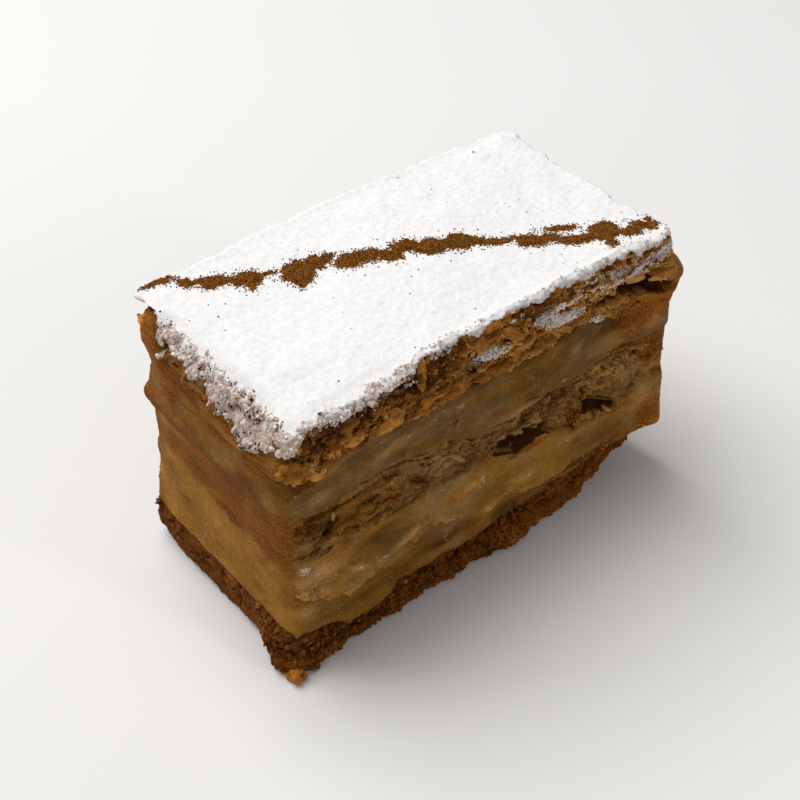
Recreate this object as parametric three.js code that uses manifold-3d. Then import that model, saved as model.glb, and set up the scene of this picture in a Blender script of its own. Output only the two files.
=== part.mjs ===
// A slice of mille feuille: three sheets of puff pastry with two bands of set custard between them, icing
// sugar on top and a line of cinnamon pinched across it. Millimetres, +Z up: X runs along the slice, Y across
// it, and the origin is on the floor under its middle. Each layer is one closed solid that runs through the
// slice: rings of points that follow one outline, stacked from the middle of its underside to that of its top.

import * as THREE from "three";
import { mergeVertices } from "three/addons/utils/BufferGeometryUtils.js";
import Module from "manifold-3d";

const wasm = await Module();
wasm.setup();

// ---- Driving dimensions ----
const LENGTH = 100;
const WIDTH = 53;
const CORNER = 3.5; // radius of the upright corners
const STEPS = { along: 24, across: 11, corner: 2 }; // points on a long side, on an end and at a corner
const GAP = 0.3; // left between two layers
const SHELF = 3.4; // how far in from the outline each layer's waviness reaches at full strength
const CORE = 0.6; // from this share of the outline inwards a hidden face is flat

// Where the layers meet, as heights along the front edge at even stations from the left end to the right one.
const MEETINGS = {
  baseTop: [10, 7.2, 7.6, 8.2, 7.0, 9.4, 10.8, 11.6, 10.8],
  lowerCustardTop: [32, 30, 30.6, 30.6, 30.4, 26.8, 26.6, 25.4, 28.4],
  middleTop: [42, 41, 42, 39.4, 38, 38.5, 39.2, 40.6, 40],
  upperCustardTop: [51.2, 51.5, 52, 51.6, 50.2, 50, 50.3, 48, 48.5],
  crustTop: [61.6, 61.6, 62.2, 63, 63.2, 62.8, 62.5, 62.2, 61.6],
};
// The custard's overhanging lip at the same stations, as a share of the band's height.
const LIP = [0.18, 0.33, 0.38, 0.5, 0.22, 0.3, 0.34, 0.45, 0.5];

const SLUMP = { from: -43.5, over: 8, drop: 5.6, extra: 1.6, extraAt: -9 }; // the crust's roll at the left end
const SUGAR = { edge: 2, left: 0.9, middle: 2.3, drift: 0.3, out: 0.3 }; // the sugar's thickness and its rim
const FLARE = { x: -51, y: -24.5, reach: 12, out: 3.4 }; // the base spreads at the front left corner
const SET_BACK = { x: 48, y: -26.5, reach: 29, out: -4.4 }; // and is drawn in at the front right one
const LIFT = { x: 50, y: -26, reach: 29, high: 4.5, rim: 0.4, ragged: 0.5 }; // its rim is off the floor, most there
const BUBBLE = { x: 51, y: -25, reach: 13, out: 3.4, low: 44, high: 58 }; // puffed skin above that corner
const LEAN = { x: -50, y: 26.5, reach: 13, out: -1.6, from: 18, over: 18 }; // the back left corner leans in
const END = { left: 1.1, right: 2.3, high: 0.6 }; // how far out custard stands at a cut end: its foot, its top

// ---- Small helpers ----
const clamp01 = (t) => Math.min(1, Math.max(0, t));
const smooth = (t) => clamp01(t) ** 2 * (3 - 2 * clamp01(t));
const mix = (a, b, t) => a + (b - a) * t;
const fraction = (t) => t - Math.floor(t);
// 1 at a place, falling smoothly to 0 at the given reach from it.
const near = (p, place) => 1 - smooth(Math.hypot(p.x - place.x, p.y - place.y) / place.reach);

// Numbers from 0 to 1 that are the same at every run.
function randomFrom(seed) {
  let state = seed >>> 0;
  return () => {
    state = (state + 0x6d2b79f5) >>> 0;
    let t = Math.imul(state ^ (state >>> 15), state | 1);
    t ^= t + Math.imul(t ^ (t >>> 7), t | 61);
    return ((t ^ (t >>> 14)) >>> 0) / 4294967296;
  };
}

// A wave round the outline, from about -1 to 1: four sines that close on themselves, from few crests to many.
function waveRound(seed, few, many) {
  const crests = [0, 1, 2, 3].map((k) => Math.round(few * (many / few) ** (k / 3)));
  const phase = (k) => fraction(0.618 * seed + 0.377 * k);
  return (u) => crests.reduce((sum, n, k) => sum + 0.5 * Math.sin(2 * Math.PI * (n * u + phase(k))), 0);
}

// A value that jumps from point to point round a ring, from -1 to 1, for broken edges.
function jitterRound(seed) {
  const random = randomFrom(seed);
  const values = Array.from({ length: AROUND }, () => 2 * random() - 1);
  return (p) => values[p.index];
}

// ---- The outline, and heights over it ----
// From the front left, each side is a straight run and then a quarter turn about its corner's centre.
function outlinePoints() {
  const halfX = LENGTH / 2 - CORNER;
  const halfY = WIDTH / 2 - CORNER;
  const sides = [
    { x: halfX, y: -halfY, run: 2 * halfX, steps: STEPS.along },
    { x: halfX, y: halfY, run: 2 * halfY, steps: STEPS.across },
    { x: -halfX, y: halfY, run: 2 * halfX, steps: STEPS.along },
    { x: -halfX, y: -halfY, run: 2 * halfY, steps: STEPS.across },
  ];
  const turn = (Math.PI / 2) * CORNER;
  const length = 4 * (halfX + halfY + turn);
  const points = [];
  let start = 0;
  sides.forEach(({ x, y, run, steps }, side) => {
    const heading = (side * Math.PI) / 2;
    const place = (back, angle, done) => {
      const outX = Math.sin(heading + angle);
      const outY = -Math.cos(heading + angle);
      const atX = x - back * Math.cos(heading) + CORNER * outX;
      const atY = y - back * Math.sin(heading) + CORNER * outY;
      points.push({ index: points.length, u: (start + done) / length, x: atX, y: atY, outX, outY });
    };
    for (let k = 0; k < steps; k++) place(run * (1 - k / steps), 0, (run * k) / steps);
    for (let k = 0; k < STEPS.corner; k++) {
      const share = k / STEPS.corner;
      place(0, (share * Math.PI) / 2, run + share * turn);
    }
    start += run + turn;
  });
  return points;
}
const OUTLINE = outlinePoints();
const AROUND = OUTLINE.length;

// Value along a list of even stations, rounded between them.
function alongStations(values, x) {
  const t = clamp01(x / LENGTH + 0.5) * (values.length - 1);
  const i = Math.min(values.length - 2, Math.floor(t));
  return mix(values[i], values[i + 1], smooth(t - i));
}

// The front edge's run of values, which turns end for end on the way to the back edge.
function overSlice(values, p) {
  return mix(alongStations(values, p.x), alongStations(values, -p.x), smooth(p.y / WIDTH + 0.5));
}

const meanOf = (values) => values.reduce((sum, value) => sum + value, 0) / values.length;

// A meeting of two layers: wavy at full strength near the outline, and flat in the hidden core.
const meeting = (heights) => (p, strength) => mix(meanOf(heights), overSlice(heights, p), strength);

// The crust's top shows through the sugar's shape, so it is wavy all over. It rolls down at the left end.
function crustTop(p) {
  const rolled = smooth((SLUMP.from - p.x) / SLUMP.over);
  const drop = SLUMP.drop + SLUMP.extra * (1 - smooth(Math.abs(p.y - SLUMP.extraAt) / 16));
  return overSlice(MEETINGS.crustTop, p) - drop * rolled;
}

// The underside is flat on the floor at its core, with a ragged rim that stands a little off it.
const brokenRim = jitterRound(11);
const underside = (p, strength) =>
  strength * (LIFT.rim + 0.5 * LIFT.ragged * (1 + brokenRim(p)) + LIFT.high * near(p, LIFT)) - GAP / 2;

// ---- Rings to a closed mesh ----
const ringOf = (place, height) =>
  OUTLINE.map((p) => {
    const q = { ...p, ...place(p) };
    return new THREE.Vector3(q.x, q.y, height(q));
  });
const offset = (out) => (p) => ({ x: p.x + p.outX * out(p), y: p.y + p.outY * out(p) });
const scaled = (share) => (p) => ({ x: p.x * share, y: p.y * share });

// The rings of a hidden face from the middle outwards, with the strength of its waviness at each. Two layers
// that meet have the same rings there.
const MEETING_FACE = [
  [scaled(CORE), 0],
  [offset(() => -SHELF), 1],
];
const CRUST_FACE = [
  [scaled(0.45), 1],
  [scaled(0.82), 1],
  [offset(() => -SHELF), 1],
  [offset(() => -2.2), 1],
];

const faceRings = (face, height) => face.map(([place, strength]) => ringOf(place, (q) => height(q, strength)));

// One skin over every ring, closed by a point at each end. The squares are split one way up to the turning ring
// and the other way beyond it, so that two layers' faces match.
function loft(rings, turn, bottom, top) {
  const points = [bottom, ...rings.flat(), top];
  const last = points.length - 1;
  const faces = [];
  for (let i = 0; i < AROUND; i++) {
    const next = (i + 1) % AROUND;
    faces.push(0, 1 + next, 1 + i);
    for (let r = 0; r < rings.length - 1; r++) {
      const low = 1 + r * AROUND;
      const high = low + AROUND;
      if (r < turn) faces.push(low + i, low + next, high + next, low + i, high + next, high + i);
      else faces.push(low + i, low + next, high + i, low + next, high + next, high + i);
    }
    const rim = 1 + (rings.length - 1) * AROUND;
    faces.push(rim + i, rim + next, last);
  }
  return new THREE.BufferGeometry().setFromPoints(points).setIndex(faces);
}

// A layer between two meetings. wall is a list of [share of the layer's height, function giving how far out of
// the outline the wall stands there].
function layerGeometry({ floor, ceiling, wall, topFace = MEETING_FACE }) {
  const low = (q, strength) => floor(q, strength) + GAP / 2;
  const high = (q, strength) => ceiling(q, strength) - GAP / 2;
  const kept = (out) => (p) => Math.max(out(p), 0.4 - SHELF);
  const sides = wall.map(([share, out]) => ringOf(offset(kept(out)), (q) => mix(low(q, 1), high(q, 1), share)));
  const below = faceRings(MEETING_FACE, low);
  const above = faceRings(topFace, high).reverse();
  if (topFace === CRUST_FACE) above.shift(); // its wall reaches in as far as the outermost ring
  const middle = { x: 0, y: 0 };
  const strength = topFace[0][1];
  return loft(
    [...below, ...sides, ...above],
    below.length + sides.length - 1,
    new THREE.Vector3(0, 0, low(middle, 0)),
    new THREE.Vector3(0, 0, high(middle, strength)),
  );
}

// ---- Walls ----
// The long sides are torn, and the two ends and the corners are cut smoother.
const tornShare = (p) => smooth((Math.abs(p.outY) - 0.7) / 0.3);
const roughness = (p) => mix(0.4, 1, tornShare(p));
const spread = (place, p) => place.out * near(p, place);
const leanIn = (p, z) => spread(LEAN, p) * smooth((z - LEAN.from) / LEAN.over);

// Edges of stacked leaves: each leaf is two rows that stand out, with a groove between it and the next one.
function leafWall(leaves, seed) {
  const rows = [];
  leaves.forEach((leaf, k) => {
    const sway = waveRound(seed + 3 * k, 5, 17);
    const broken = jitterRound(seed + 3 * k);
    const standing = (p) => leaf.out + roughness(p) * (0.8 * sway(p.u) + 0.5 * broken(p)) + leaf.more(p);
    if (k > 0) {
      const depth = waveRound(seed + 3 * k + 1, 4, 12);
      const groove = (p) => standing(p) - roughness(p) * (1.7 + 0.8 * depth(p.u));
      rows.push([mix(leaves[k - 1].high, leaf.low, 0.5), groove]);
    }
    rows.push([leaf.low, standing], [leaf.high, (p) => standing(p) - 0.2]);
  });
  return rows;
}

// Custard swells out over its lip, and is drawn in under it. At the cut ends it only widens towards its foot.
function custardWall({ rows, lip, bulge, seed, lean }) {
  const sway = waveRound(seed, 2, 9);
  return Array.from({ length: rows }, (_, row) => {
    const share = row / (rows - 1);
    const out = (p) => {
      const over = share - lip(p);
      const torn = mix(-1.5, bulge - 1.5 * over, smooth(over / 0.2 + 0.6)) + 0.5 * sway(p.u);
      const cut = mix(p.outX > 0 ? END.right : END.left, END.high, share) + 0.2 * sway(p.u);
      return mix(cut, torn, tornShare(p)) + lean(p);
    };
    return [share, out];
  });
}

// Puffed skin: none at the bubble's two ends, all of it half way.
const bubble = (p, z) =>
  spread(BUBBLE, p) * Math.sin(Math.PI * clamp01((z - BUBBLE.low) / (BUBBLE.high - BUBBLE.low)));

// A ledge under the top leaf stands out where sugar has fallen on it.
const ledge = (p) => 1.3 * smooth((Math.abs(p.x + p.y) - 20) / 15) * smooth((Math.abs(p.y) - 20) / 5);

// The base's leaves: how much of the spread at its corners and of two swellings each one shares.
const SWELLINGS = [
  { x: 22, y: 26.5, reach: 20, out: 2.6 },
  { x: 7, y: -26.5, reach: 9, out: 1.6 },
  { x: -50, y: 26.5, reach: 9, out: 1.2 },
];
const footing = (share) => (p) =>
  share * [FLARE, SET_BACK, ...SWELLINGS].reduce((sum, place) => sum + spread(place, p), 0);

const BASE_LEAVES = [
  { low: 0, high: 0.16, out: 0.5, more: footing(1) },
  { low: 0.3, high: 0.52, out: -0.1, more: footing(0.8) },
  { low: 0.68, high: 1, out: -0.3, more: footing(0.3) },
];
// At the ends the middle sheet is cut flush with the custard.
const cutOut = (p) => END.high * (1 - tornShare(p));
const MIDDLE_LEAVES = [
  { low: 0, high: 0.2, out: 0.2, more: (p) => leanIn(p, 33) + cutOut(p) },
  { low: 0.38, high: 0.58, out: 0.3, more: (p) => leanIn(p, 36) + cutOut(p) },
  { low: 0.74, high: 1, out: 0, more: (p) => leanIn(p, 39) + cutOut(p) },
];
const CRUST_LEAVES = [
  { low: 0, high: 0.24, out: 0.3, more: (p) => leanIn(p, 50) + bubble(p, 50) },
  { low: 0.38, high: 0.56, out: 0.1, more: (p) => leanIn(p, 54) + bubble(p, 53) },
  { low: 0.7, high: 1, out: -0.4, more: (p) => leanIn(p, 59) + ledge(p) },
];

// ---- Hollows and flakes ----
// Gaps between leaves that are open at a side: flat rounded pockets, tilted along X.
const HOLLOWS = [
  { x: 9, y: -27.5, z: 29.3, long: 8.5, deep: 7, high: 2.5, tilt: 14 },
  { x: 31.5, y: -27, z: 28.6, long: 6, deep: 6, high: 3, tilt: 27 },
  { x: 41.5, y: -28, z: 52.6, long: 8.5, deep: 9, high: 1.8, tilt: 12 },
  { x: -38, y: -27.5, z: 36.4, long: 7.5, deep: 4, high: 1, tilt: 3 },
  { x: -14, y: 27.5, z: 30.5, long: 7.5, deep: 6, high: 2.2, tilt: -8 },
  { x: 24, y: 27.5, z: 36.5, long: 6.5, deep: 5, high: 1.4, tilt: 6 },
  { x: -2, y: 27.5, z: 56.5, long: 6, deep: 5, high: 1.2, tilt: -5 },
];

function manifoldOf(geometry) {
  const bare = geometry.clone();
  bare.deleteAttribute("normal");
  bare.deleteAttribute("uv");
  const merged = mergeVertices(bare, 1e-4);
  const vertProperties = new Float32Array(merged.attributes.position.array);
  const triVerts = new Uint32Array(merged.index.array);
  return new wasm.Manifold(new wasm.Mesh({ numProp: 3, vertProperties, triVerts }));
}

function geometryOf(solid) {
  const mesh = solid.getMesh();
  const geometry = new THREE.BufferGeometry();
  geometry.setAttribute("position", new THREE.BufferAttribute(mesh.vertProperties, 3));
  geometry.setIndex(new THREE.BufferAttribute(mesh.triVerts, 1));
  geometry.computeVertexNormals();
  return geometry;
}

function hollowSolid({ x, y, z, long, deep, high, tilt }) {
  const shape = new THREE.SphereGeometry(1, 12, 7).scale(long, high, deep).rotateX(Math.PI / 2);
  const flat = shape.scale(1, deep / high, high / deep); // the poles point out of the side
  return manifoldOf(flat.rotateY(THREE.MathUtils.degToRad(tilt)).translate(x, y, z));
}

// A broken bit of leaf that sticks out of a wall: a thin plate whose outer edge tapers and droops.
function flakeSolid({ place, z, wide, out, droop }) {
  const rooted = 2.6; // how far it reaches into the wall
  const thick = 0.8;
  const plate = new THREE.BoxGeometry(wide, rooted + out, thick, 1, 2, 1);
  const at = plate.attributes.position;
  for (let i = 0; i < at.count; i++) {
    const reach = at.getY(i) / (rooted + out) + 0.5; // 0 in the wall, 1 at the broken edge
    at.setX(i, at.getX(i) * mix(1, 0.6, reach));
    at.setY(i, at.getY(i) + 0.5 * (out - rooted));
    at.setZ(i, at.getZ(i) * mix(1, 0.5, reach) - droop * reach ** 2);
  }
  const turn = Math.atan2(place.outY, place.outX) - Math.PI / 2;
  return manifoldOf(plate.rotateZ(turn).translate(place.x, place.y, z));
}

// Flakes round a wall, rooted in its leaves: most on the long sides, and none at an open hollow.
function flakesRound({ floor, ceiling, leaves, count, seed }) {
  const random = randomFrom(seed);
  const flakes = [];
  for (let k = 0; k < count; k++) {
    const place = OUTLINE[Math.floor(((k + 0.7 * random()) / count) * AROUND)];
    const leaf = leaves[Math.floor(random() * leaves.length)];
    const share = mix(leaf.low, leaf.high, 0.5);
    const z = mix(floor(place, 1), ceiling(place, 1), share);
    const out = (1.3 + 1.2 * random()) * roughness(place);
    const flake = { place, z, wide: 3 + 3.5 * random(), out, droop: 0.6 * random() };
    const open = HOLLOWS.some((h) => Math.hypot(h.x - place.x, h.y - place.y) < h.long + 4);
    const thickEnough = ceiling(place, 1) - floor(place, 1) > 7;
    if (!open && thickEnough && roughness(place) > 0.5) flakes.push(flakeSolid(flake));
  }
  return flakes;
}

// The light chip that lies against the front left corner of the base.
function cornerChip() {
  const chip = new THREE.SphereGeometry(1, 10, 6).scale(2.6, 1.5, 1.9).rotateX(Math.PI / 2);
  return manifoldOf(chip.rotateZ(-0.6).translate(-52, -28.4, 1.55));
}

// ---- Icing sugar and the cinnamon line ----
const drift = (p) => SUGAR.drift * (Math.sin(p.x / 9 + p.y / 14) + Math.cos(p.x / 15 - p.y / 8));

// The sugar thins out towards its rim, most of all at the left. inwards is 0 there and 1 from the shelf on.
const sugarEdge = (p) => mix(SUGAR.edge, SUGAR.left, smooth((SLUMP.from - p.x) / SLUMP.over));
const sugarTop = (p, inwards) =>
  crustTop(p) + mix(sugarEdge(p), SUGAR.middle + drift(p), smooth(inwards));
const inwardsAt = ({ x, y }) => clamp01(Math.min(LENGTH / 2 - Math.abs(x), WIDTH / 2 - Math.abs(y)) / SHELF);

function sugarGeometry() {
  const sway = waveRound(61, 7, 23);
  const broken = jitterRound(62);
  const rim = (p) => 0.4 * sway(p.u) + 0.3 * broken(p) + SUGAR.out;
  const under = (q) => crustTop(q) + GAP / 2;
  const inwards = [1, 1, 1, 0.6];
  const below = faceRings(CRUST_FACE, under);
  const above = CRUST_FACE.map(([place], k) => ringOf(place, (q) => sugarTop(q, inwards[k]))).reverse();
  const edge = [ringOf(offset(rim), under), ringOf(offset((p) => rim(p) + 0.2), (q) => sugarTop(q, 0))];
  const middle = { x: 0, y: 0 };
  return loft(
    [...below, ...edge, ...above],
    below.length,
    new THREE.Vector3(0, 0, under(middle)),
    new THREE.Vector3(0, 0, sugarTop(middle, 1)),
  );
}

// The line's pinches of cinnamon: where each lies, half its length along the line, and half its width.
const PINCHES = [
  { x: -42.5, y: 24.8, half: 4.5, wide: 1.1 },
  { x: -34, y: 21.6, half: 7, wide: 2.1 },
  { x: -25.5, y: 17.8, half: 5.5, wide: 2.6 },
  { x: -16, y: 12.2, half: 7.5, wide: 3.6 },
  { x: -4.5, y: 6.6, half: 8, wide: 2.5 },
  { x: 5.5, y: 2.2, half: 7.5, wide: 2.4 },
  { x: 14.5, y: -2.8, half: 6, wide: 2.3 },
  { x: 25.5, y: -9.6, half: 8, wide: 2.2 },
  { x: 33.5, y: -14.6, half: 6, wide: 2.5 },
  { x: 40, y: -17.6, half: 6, wide: 3.6 },
  { x: 46.5, y: -19.4, half: 4, wide: 1.4 },
];
const LINE = { steps: 44, high: 0.8, sunk: 1.2, thinnest: 0.7 };
// Half the ridge's cross-section, out to one side of its middle: [share of the half width, height].
const LINE_SIDE = [
  [1, -LINE.sunk],
  [1, 0.3 * LINE.high],
  [0.5, LINE.high],
];

// A low rounded ridge over the pinches, sunk into the sugar and narrow at both ends.
function cinnamonRidge() {
  const curve = new THREE.CatmullRomCurve3(PINCHES.map(({ x, y }) => new THREE.Vector3(x, y, 0)));
  const halfWidth = (at) =>
    PINCHES.reduce((most, pinch) => {
      const away = Math.hypot(at.x - pinch.x, at.y - pinch.y) / pinch.half;
      return Math.max(most, pinch.wide * Math.sqrt(Math.max(0, 1 - away ** 2)));
    }, LINE.thinnest);
  const section = [...LINE_SIDE, ...LINE_SIDE.map(([across, up]) => [-across, up]).reverse()];
  const points = [];
  for (let k = 0; k <= LINE.steps; k++) {
    const u = k / LINE.steps;
    const at = curve.getPointAt(u);
    const along = curve.getTangentAt(u);
    const wide = halfWidth(at) * Math.min(1, 8 * u + 0.3, 8 * (1 - u) + 0.3);
    for (const [across, up] of section) {
      const x = at.x + along.y * across * wide;
      const y = at.y - along.x * across * wide;
      points.push(new THREE.Vector3(x, y, sugarTop({ x, y }, inwardsAt({ x, y })) + up));
    }
  }
  const sides = section.length;
  const faces = [];
  for (let k = 0; k < LINE.steps; k++)
    for (let i = 0; i < sides; i++) {
      const a = k * sides + i;
      const b = k * sides + ((i + 1) % sides);
      faces.push(a, b + sides, b, a, a + sides, b + sides);
    }
  const end = LINE.steps * sides;
  for (let i = 1; i < sides - 1; i++) faces.push(0, i, i + 1, end, end + i + 1, end + i);
  return manifoldOf(new THREE.BufferGeometry().setFromPoints(points).setIndex(faces));
}

// ---- The slice ----
const baseTop = meeting(MEETINGS.baseTop);
const lowerCustardTop = meeting(MEETINGS.lowerCustardTop);
const middleTop = meeting(MEETINGS.middleTop);
const upperCustardTop = meeting(MEETINGS.upperCustardTop);

const base = { floor: underside, ceiling: baseTop, leaves: BASE_LEAVES, wall: leafWall(BASE_LEAVES, 21) };
const middle = {
  floor: lowerCustardTop,
  ceiling: middleTop,
  leaves: MIDDLE_LEAVES,
  wall: leafWall(MIDDLE_LEAVES, 31),
};
const crust = {
  floor: upperCustardTop,
  ceiling: crustTop,
  leaves: CRUST_LEAVES,
  wall: leafWall(CRUST_LEAVES, 41),
  topFace: CRUST_FACE,
};
const lowerCustard = {
  floor: baseTop,
  ceiling: lowerCustardTop,
  wall: custardWall({
    rows: 7,
    lip: (p) => overSlice(LIP, p),
    bulge: 1.2,
    seed: 51,
    lean: (p) => 0.4 * leanIn(p, 26),
  }),
};
const upperCustard = {
  floor: middleTop,
  ceiling: upperCustardTop,
  wall: custardWall({ rows: 4, lip: () => 0.2, bulge: 0.5, seed: 55, lean: (p) => leanIn(p, 45) }),
};

const LAYERS = {
  bottom_pastry: {
    geometry: layerGeometry(base),
    more: [...flakesRound({ ...base, count: 16, seed: 71 }), cornerChip()],
    material: { color: 0x5a3312, roughness: 0.85 },
  },
  lower_custard: {
    geometry: layerGeometry(lowerCustard),
    more: [],
    material: { color: 0xa87a35, roughness: 0.45 },
  },
  middle_pastry: {
    geometry: layerGeometry(middle),
    more: flakesRound({ ...middle, count: 26, seed: 73 }),
    material: { color: 0x8a5c28, roughness: 0.7 },
  },
  upper_custard: {
    geometry: layerGeometry(upperCustard),
    more: [],
    material: { color: 0xa07434, roughness: 0.45 },
  },
  top_pastry: {
    geometry: layerGeometry(crust),
    more: flakesRound({ ...crust, count: 30, seed: 79 }),
    material: { color: 0x8f5a22, roughness: 0.75 },
  },
  icing_sugar: {
    geometry: sugarGeometry(),
    more: [cinnamonRidge()],
    material: { color: 0xf7f5f2, roughness: 0.95 },
  },
};

// Each layer as a mesh: its loft, with its flakes and toppings joined on and the hollows cut out of it.
function layerMesh(name, { geometry, more, material }) {
  let solid = manifoldOf(geometry);
  for (const piece of more) solid = solid.add(piece);
  for (const hollow of HOLLOWS) solid = solid.subtract(hollowSolid(hollow));
  const mesh = new THREE.Mesh(geometryOf(solid), new THREE.MeshStandardMaterial({ metalness: 0, ...material }));
  mesh.name = name;
  return mesh;
}

const slice = new THREE.Group();
slice.name = "mille_feuille_slice";
for (const [name, layer] of Object.entries(LAYERS)) slice.add(layerMesh(name, layer));

export default slice;
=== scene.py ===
"""A slice of mille feuille, dressed over its CAD layers.

It has flaky torn pastry, wet custard, icing sugar and a line of cinnamon. Shapes are worked out in
millimetres and put into meshes in metres. +X runs along the slice, -Y is its long torn front, and the floor
is at height 0. Each layer's side is a surface of two parameters: how far round the outline, and how far up a
profile that stands out from that outline. The back is torn as the front is, turned end for end, and the
right end is cut as the left one is.
"""

import bpy
import numpy as np
from mathutils import Matrix, Vector


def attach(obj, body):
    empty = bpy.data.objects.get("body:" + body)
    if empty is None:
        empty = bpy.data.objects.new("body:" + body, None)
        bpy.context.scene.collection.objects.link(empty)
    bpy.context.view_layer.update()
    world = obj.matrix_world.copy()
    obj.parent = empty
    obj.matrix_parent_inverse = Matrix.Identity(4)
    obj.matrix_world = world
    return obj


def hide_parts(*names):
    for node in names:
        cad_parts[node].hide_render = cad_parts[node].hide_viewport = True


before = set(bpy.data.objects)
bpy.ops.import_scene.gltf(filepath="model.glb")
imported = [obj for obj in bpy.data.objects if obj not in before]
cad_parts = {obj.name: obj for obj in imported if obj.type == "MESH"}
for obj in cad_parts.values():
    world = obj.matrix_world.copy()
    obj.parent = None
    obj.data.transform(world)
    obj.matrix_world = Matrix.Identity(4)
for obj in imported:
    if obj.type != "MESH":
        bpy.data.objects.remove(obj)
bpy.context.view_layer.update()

# ---- Driving sizes, in millimetres ----
MM = 0.001
LENGTH, WIDTH, CORNER = 100.0, 53.0, 3.5  # the slice's outline, with rounded upright corners
STEP = 0.3  # spacing of the points round a layer's side
INNER_RING = 0.5  # share of the outline at which a hidden face's inner ring lies
LEAF_ROWS = 12  # points up the profile of a leaf of pastry
OFF_FLOOR = 0.02  # the least height of a crumb or flake
STRAIGHTS = np.array([LENGTH - 2 * CORNER, WIDTH - 2 * CORNER] * 2)
ARC = 0.5 * np.pi * CORNER
PERIMETER = STRAIGHTS.sum() + 4 * ARC

# Where the layers meet: heights along the front from the left end to the right one, at even stations.
MEETINGS = {
    "base": (10, 7.2, 7.6, 8.2, 7.0, 9.4, 10.8, 11.6, 10.8),
    "lower custard": (32, 30, 30.6, 30.6, 30.4, 26.8, 26.6, 25.4, 28.4),
    "middle": (42, 41, 42, 39.4, 38, 38.5, 39.2, 40.6, 40),
    "upper custard": (51.2, 51.5, 52, 51.6, 50.2, 50, 50.3, 48, 48.5),
    "crust": (61.6, 61.6, 62.2, 63, 63.2, 62.8, 62.5, 62.2, 61.6),
}
EDGES = {  # where a meeting is higher or lower still: place along a long side, half length and millimetres
    "base": ((-33, 9, -1.4), (-22, 4, 0.9), (4.5, 3.5, 1.2), (33, 8, 2.4)),
    "lower custard": ((-46, 5, -1.0), (13, 8, 2.8), (24, 3, -1.4)),
    "middle": ((-32, 9, 0.9), (-14, 3, -1.0)),
    "upper custard": ((-44, 5, -1.4), (-8, 5, 0.9), (40, 8, 0.8)),
}
FRONT_DROP = {"base": -1.7, "lower custard": -0.9, "middle": -0.5, "upper custard": 0.2}
LIP = (  # the custard's lip along a long side: place and height
    (-51, -48.5, -44.5, -41.5, -37.5, -33.5, -26.5, -21.5, -17.7, -15.5, -12.5, -9.5, -6.5, -3.5, -1.5, 0.5,
     3.5, 6.5, 8.5, 12, 18, 23, 28, 34, 50),
    (15, 21.3, 19.3, 17.8, 17.1, 17.5, 18.3, 19.5, 22.1, 20.8, 19.9, 19.6, 18.1, 16.8, 15.6, 15.6,
     16.8, 16.3, 15.3, 15, 15.3, 15.6, 15.4, 15, 14),
)
# The crust's roll down at the left end, along X and across Y.
SLUMP = {"from": -43.5, "over": 8, "drop": 5.6, "extra": 1.6, "extra_at": -9, "until": 14}
# The sugar's thickness at its rim, on the roll and in the middle, its drifts, and how far out its rim is.
SUGAR = {"edge": 2.0, "left": 0.9, "middle": 2.3, "drift": 0.3, "out": 0.3}
# How far out the custard stands at a cut end: at its foot on the left and on the right, and at its top.
END = {"left": 1.1, "right": 1.7, "high": 0.6}

# Places in plan where a side stands out or draws in, or a foot is higher: x, y, reach and how far.
FLARE = (-51, -24.5, 12, 3.4)
SET_BACK = (48, -26.5, 29, -4.4)
SWELLINGS = ((22, 26.5, 20, 2.6), (7, -26.5, 9, 1.0))
BUBBLE = (51, -25, 12, 3.0)
BUBBLE_RISE = ((46, 49, 52, 54, 56, 58.5), (0, 0.35, 0.9, 1.0, 0.6, 0))  # heights, and its share at each
LEAN = (-50, 26.5, 13, -2.1)
LIFT = (50, -26, 29, 4.5)
RIGHT_EDGE = (50, -26.5, 9, 1.9)
FOOT_RISE = (51, -26.5, 9, 2.0)
# Swells of the back left corner: height, half height and how far out.
CORNER_SWELLS = ((56.5, 4.5, 1.0), (48, 4.5, -0.7), (41, 3.2, 1.3), (26, 3, 0.3), (0, 8, -0.6))

# Hollows open at a long side: x, side (-1 is the front, 1 the back), height, half length, depth, half height
# and slope down along X. The first lies on the thick custard, which is left whole under it.
HOLLOWS = (
    (9.4, -1, 29.3, 8.8, 3.0, 1.6, 0.15),
    (27.3, -1, 30.4, 1.6, 3.0, 1.8, 0.1),
    (32.0, -1, 26.2, 4.8, 3.0, 1.4, 0.33),
    (-40.2, -1, 33.8, 3.4, 1.2, 1.1, -0.3),
    (-29.0, -1, 34.4, 2.8, 1.1, 0.9, 0.05),
    (-17.0, -1, 32.4, 3.0, 0.9, 0.6, 0.5),
    (43.2, -1, 34.0, 1.2, 2.5, 0.9, 0.0),
    (41.5, -1, 54.1, 7.4, 5.0, 2.3, 0.2),
    (31.0, -1, 54.9, 7.0, 3.0, 1.0, 0.12),
    (-14, 1, 30.5, 7.5, 5.0, 2.2, -0.14),
    (24, 1, 36.5, 6.5, 4.0, 1.4, 0.1),
    (-2, 1, 56.5, 6.0, 4.0, 1.2, -0.1),
)

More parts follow.
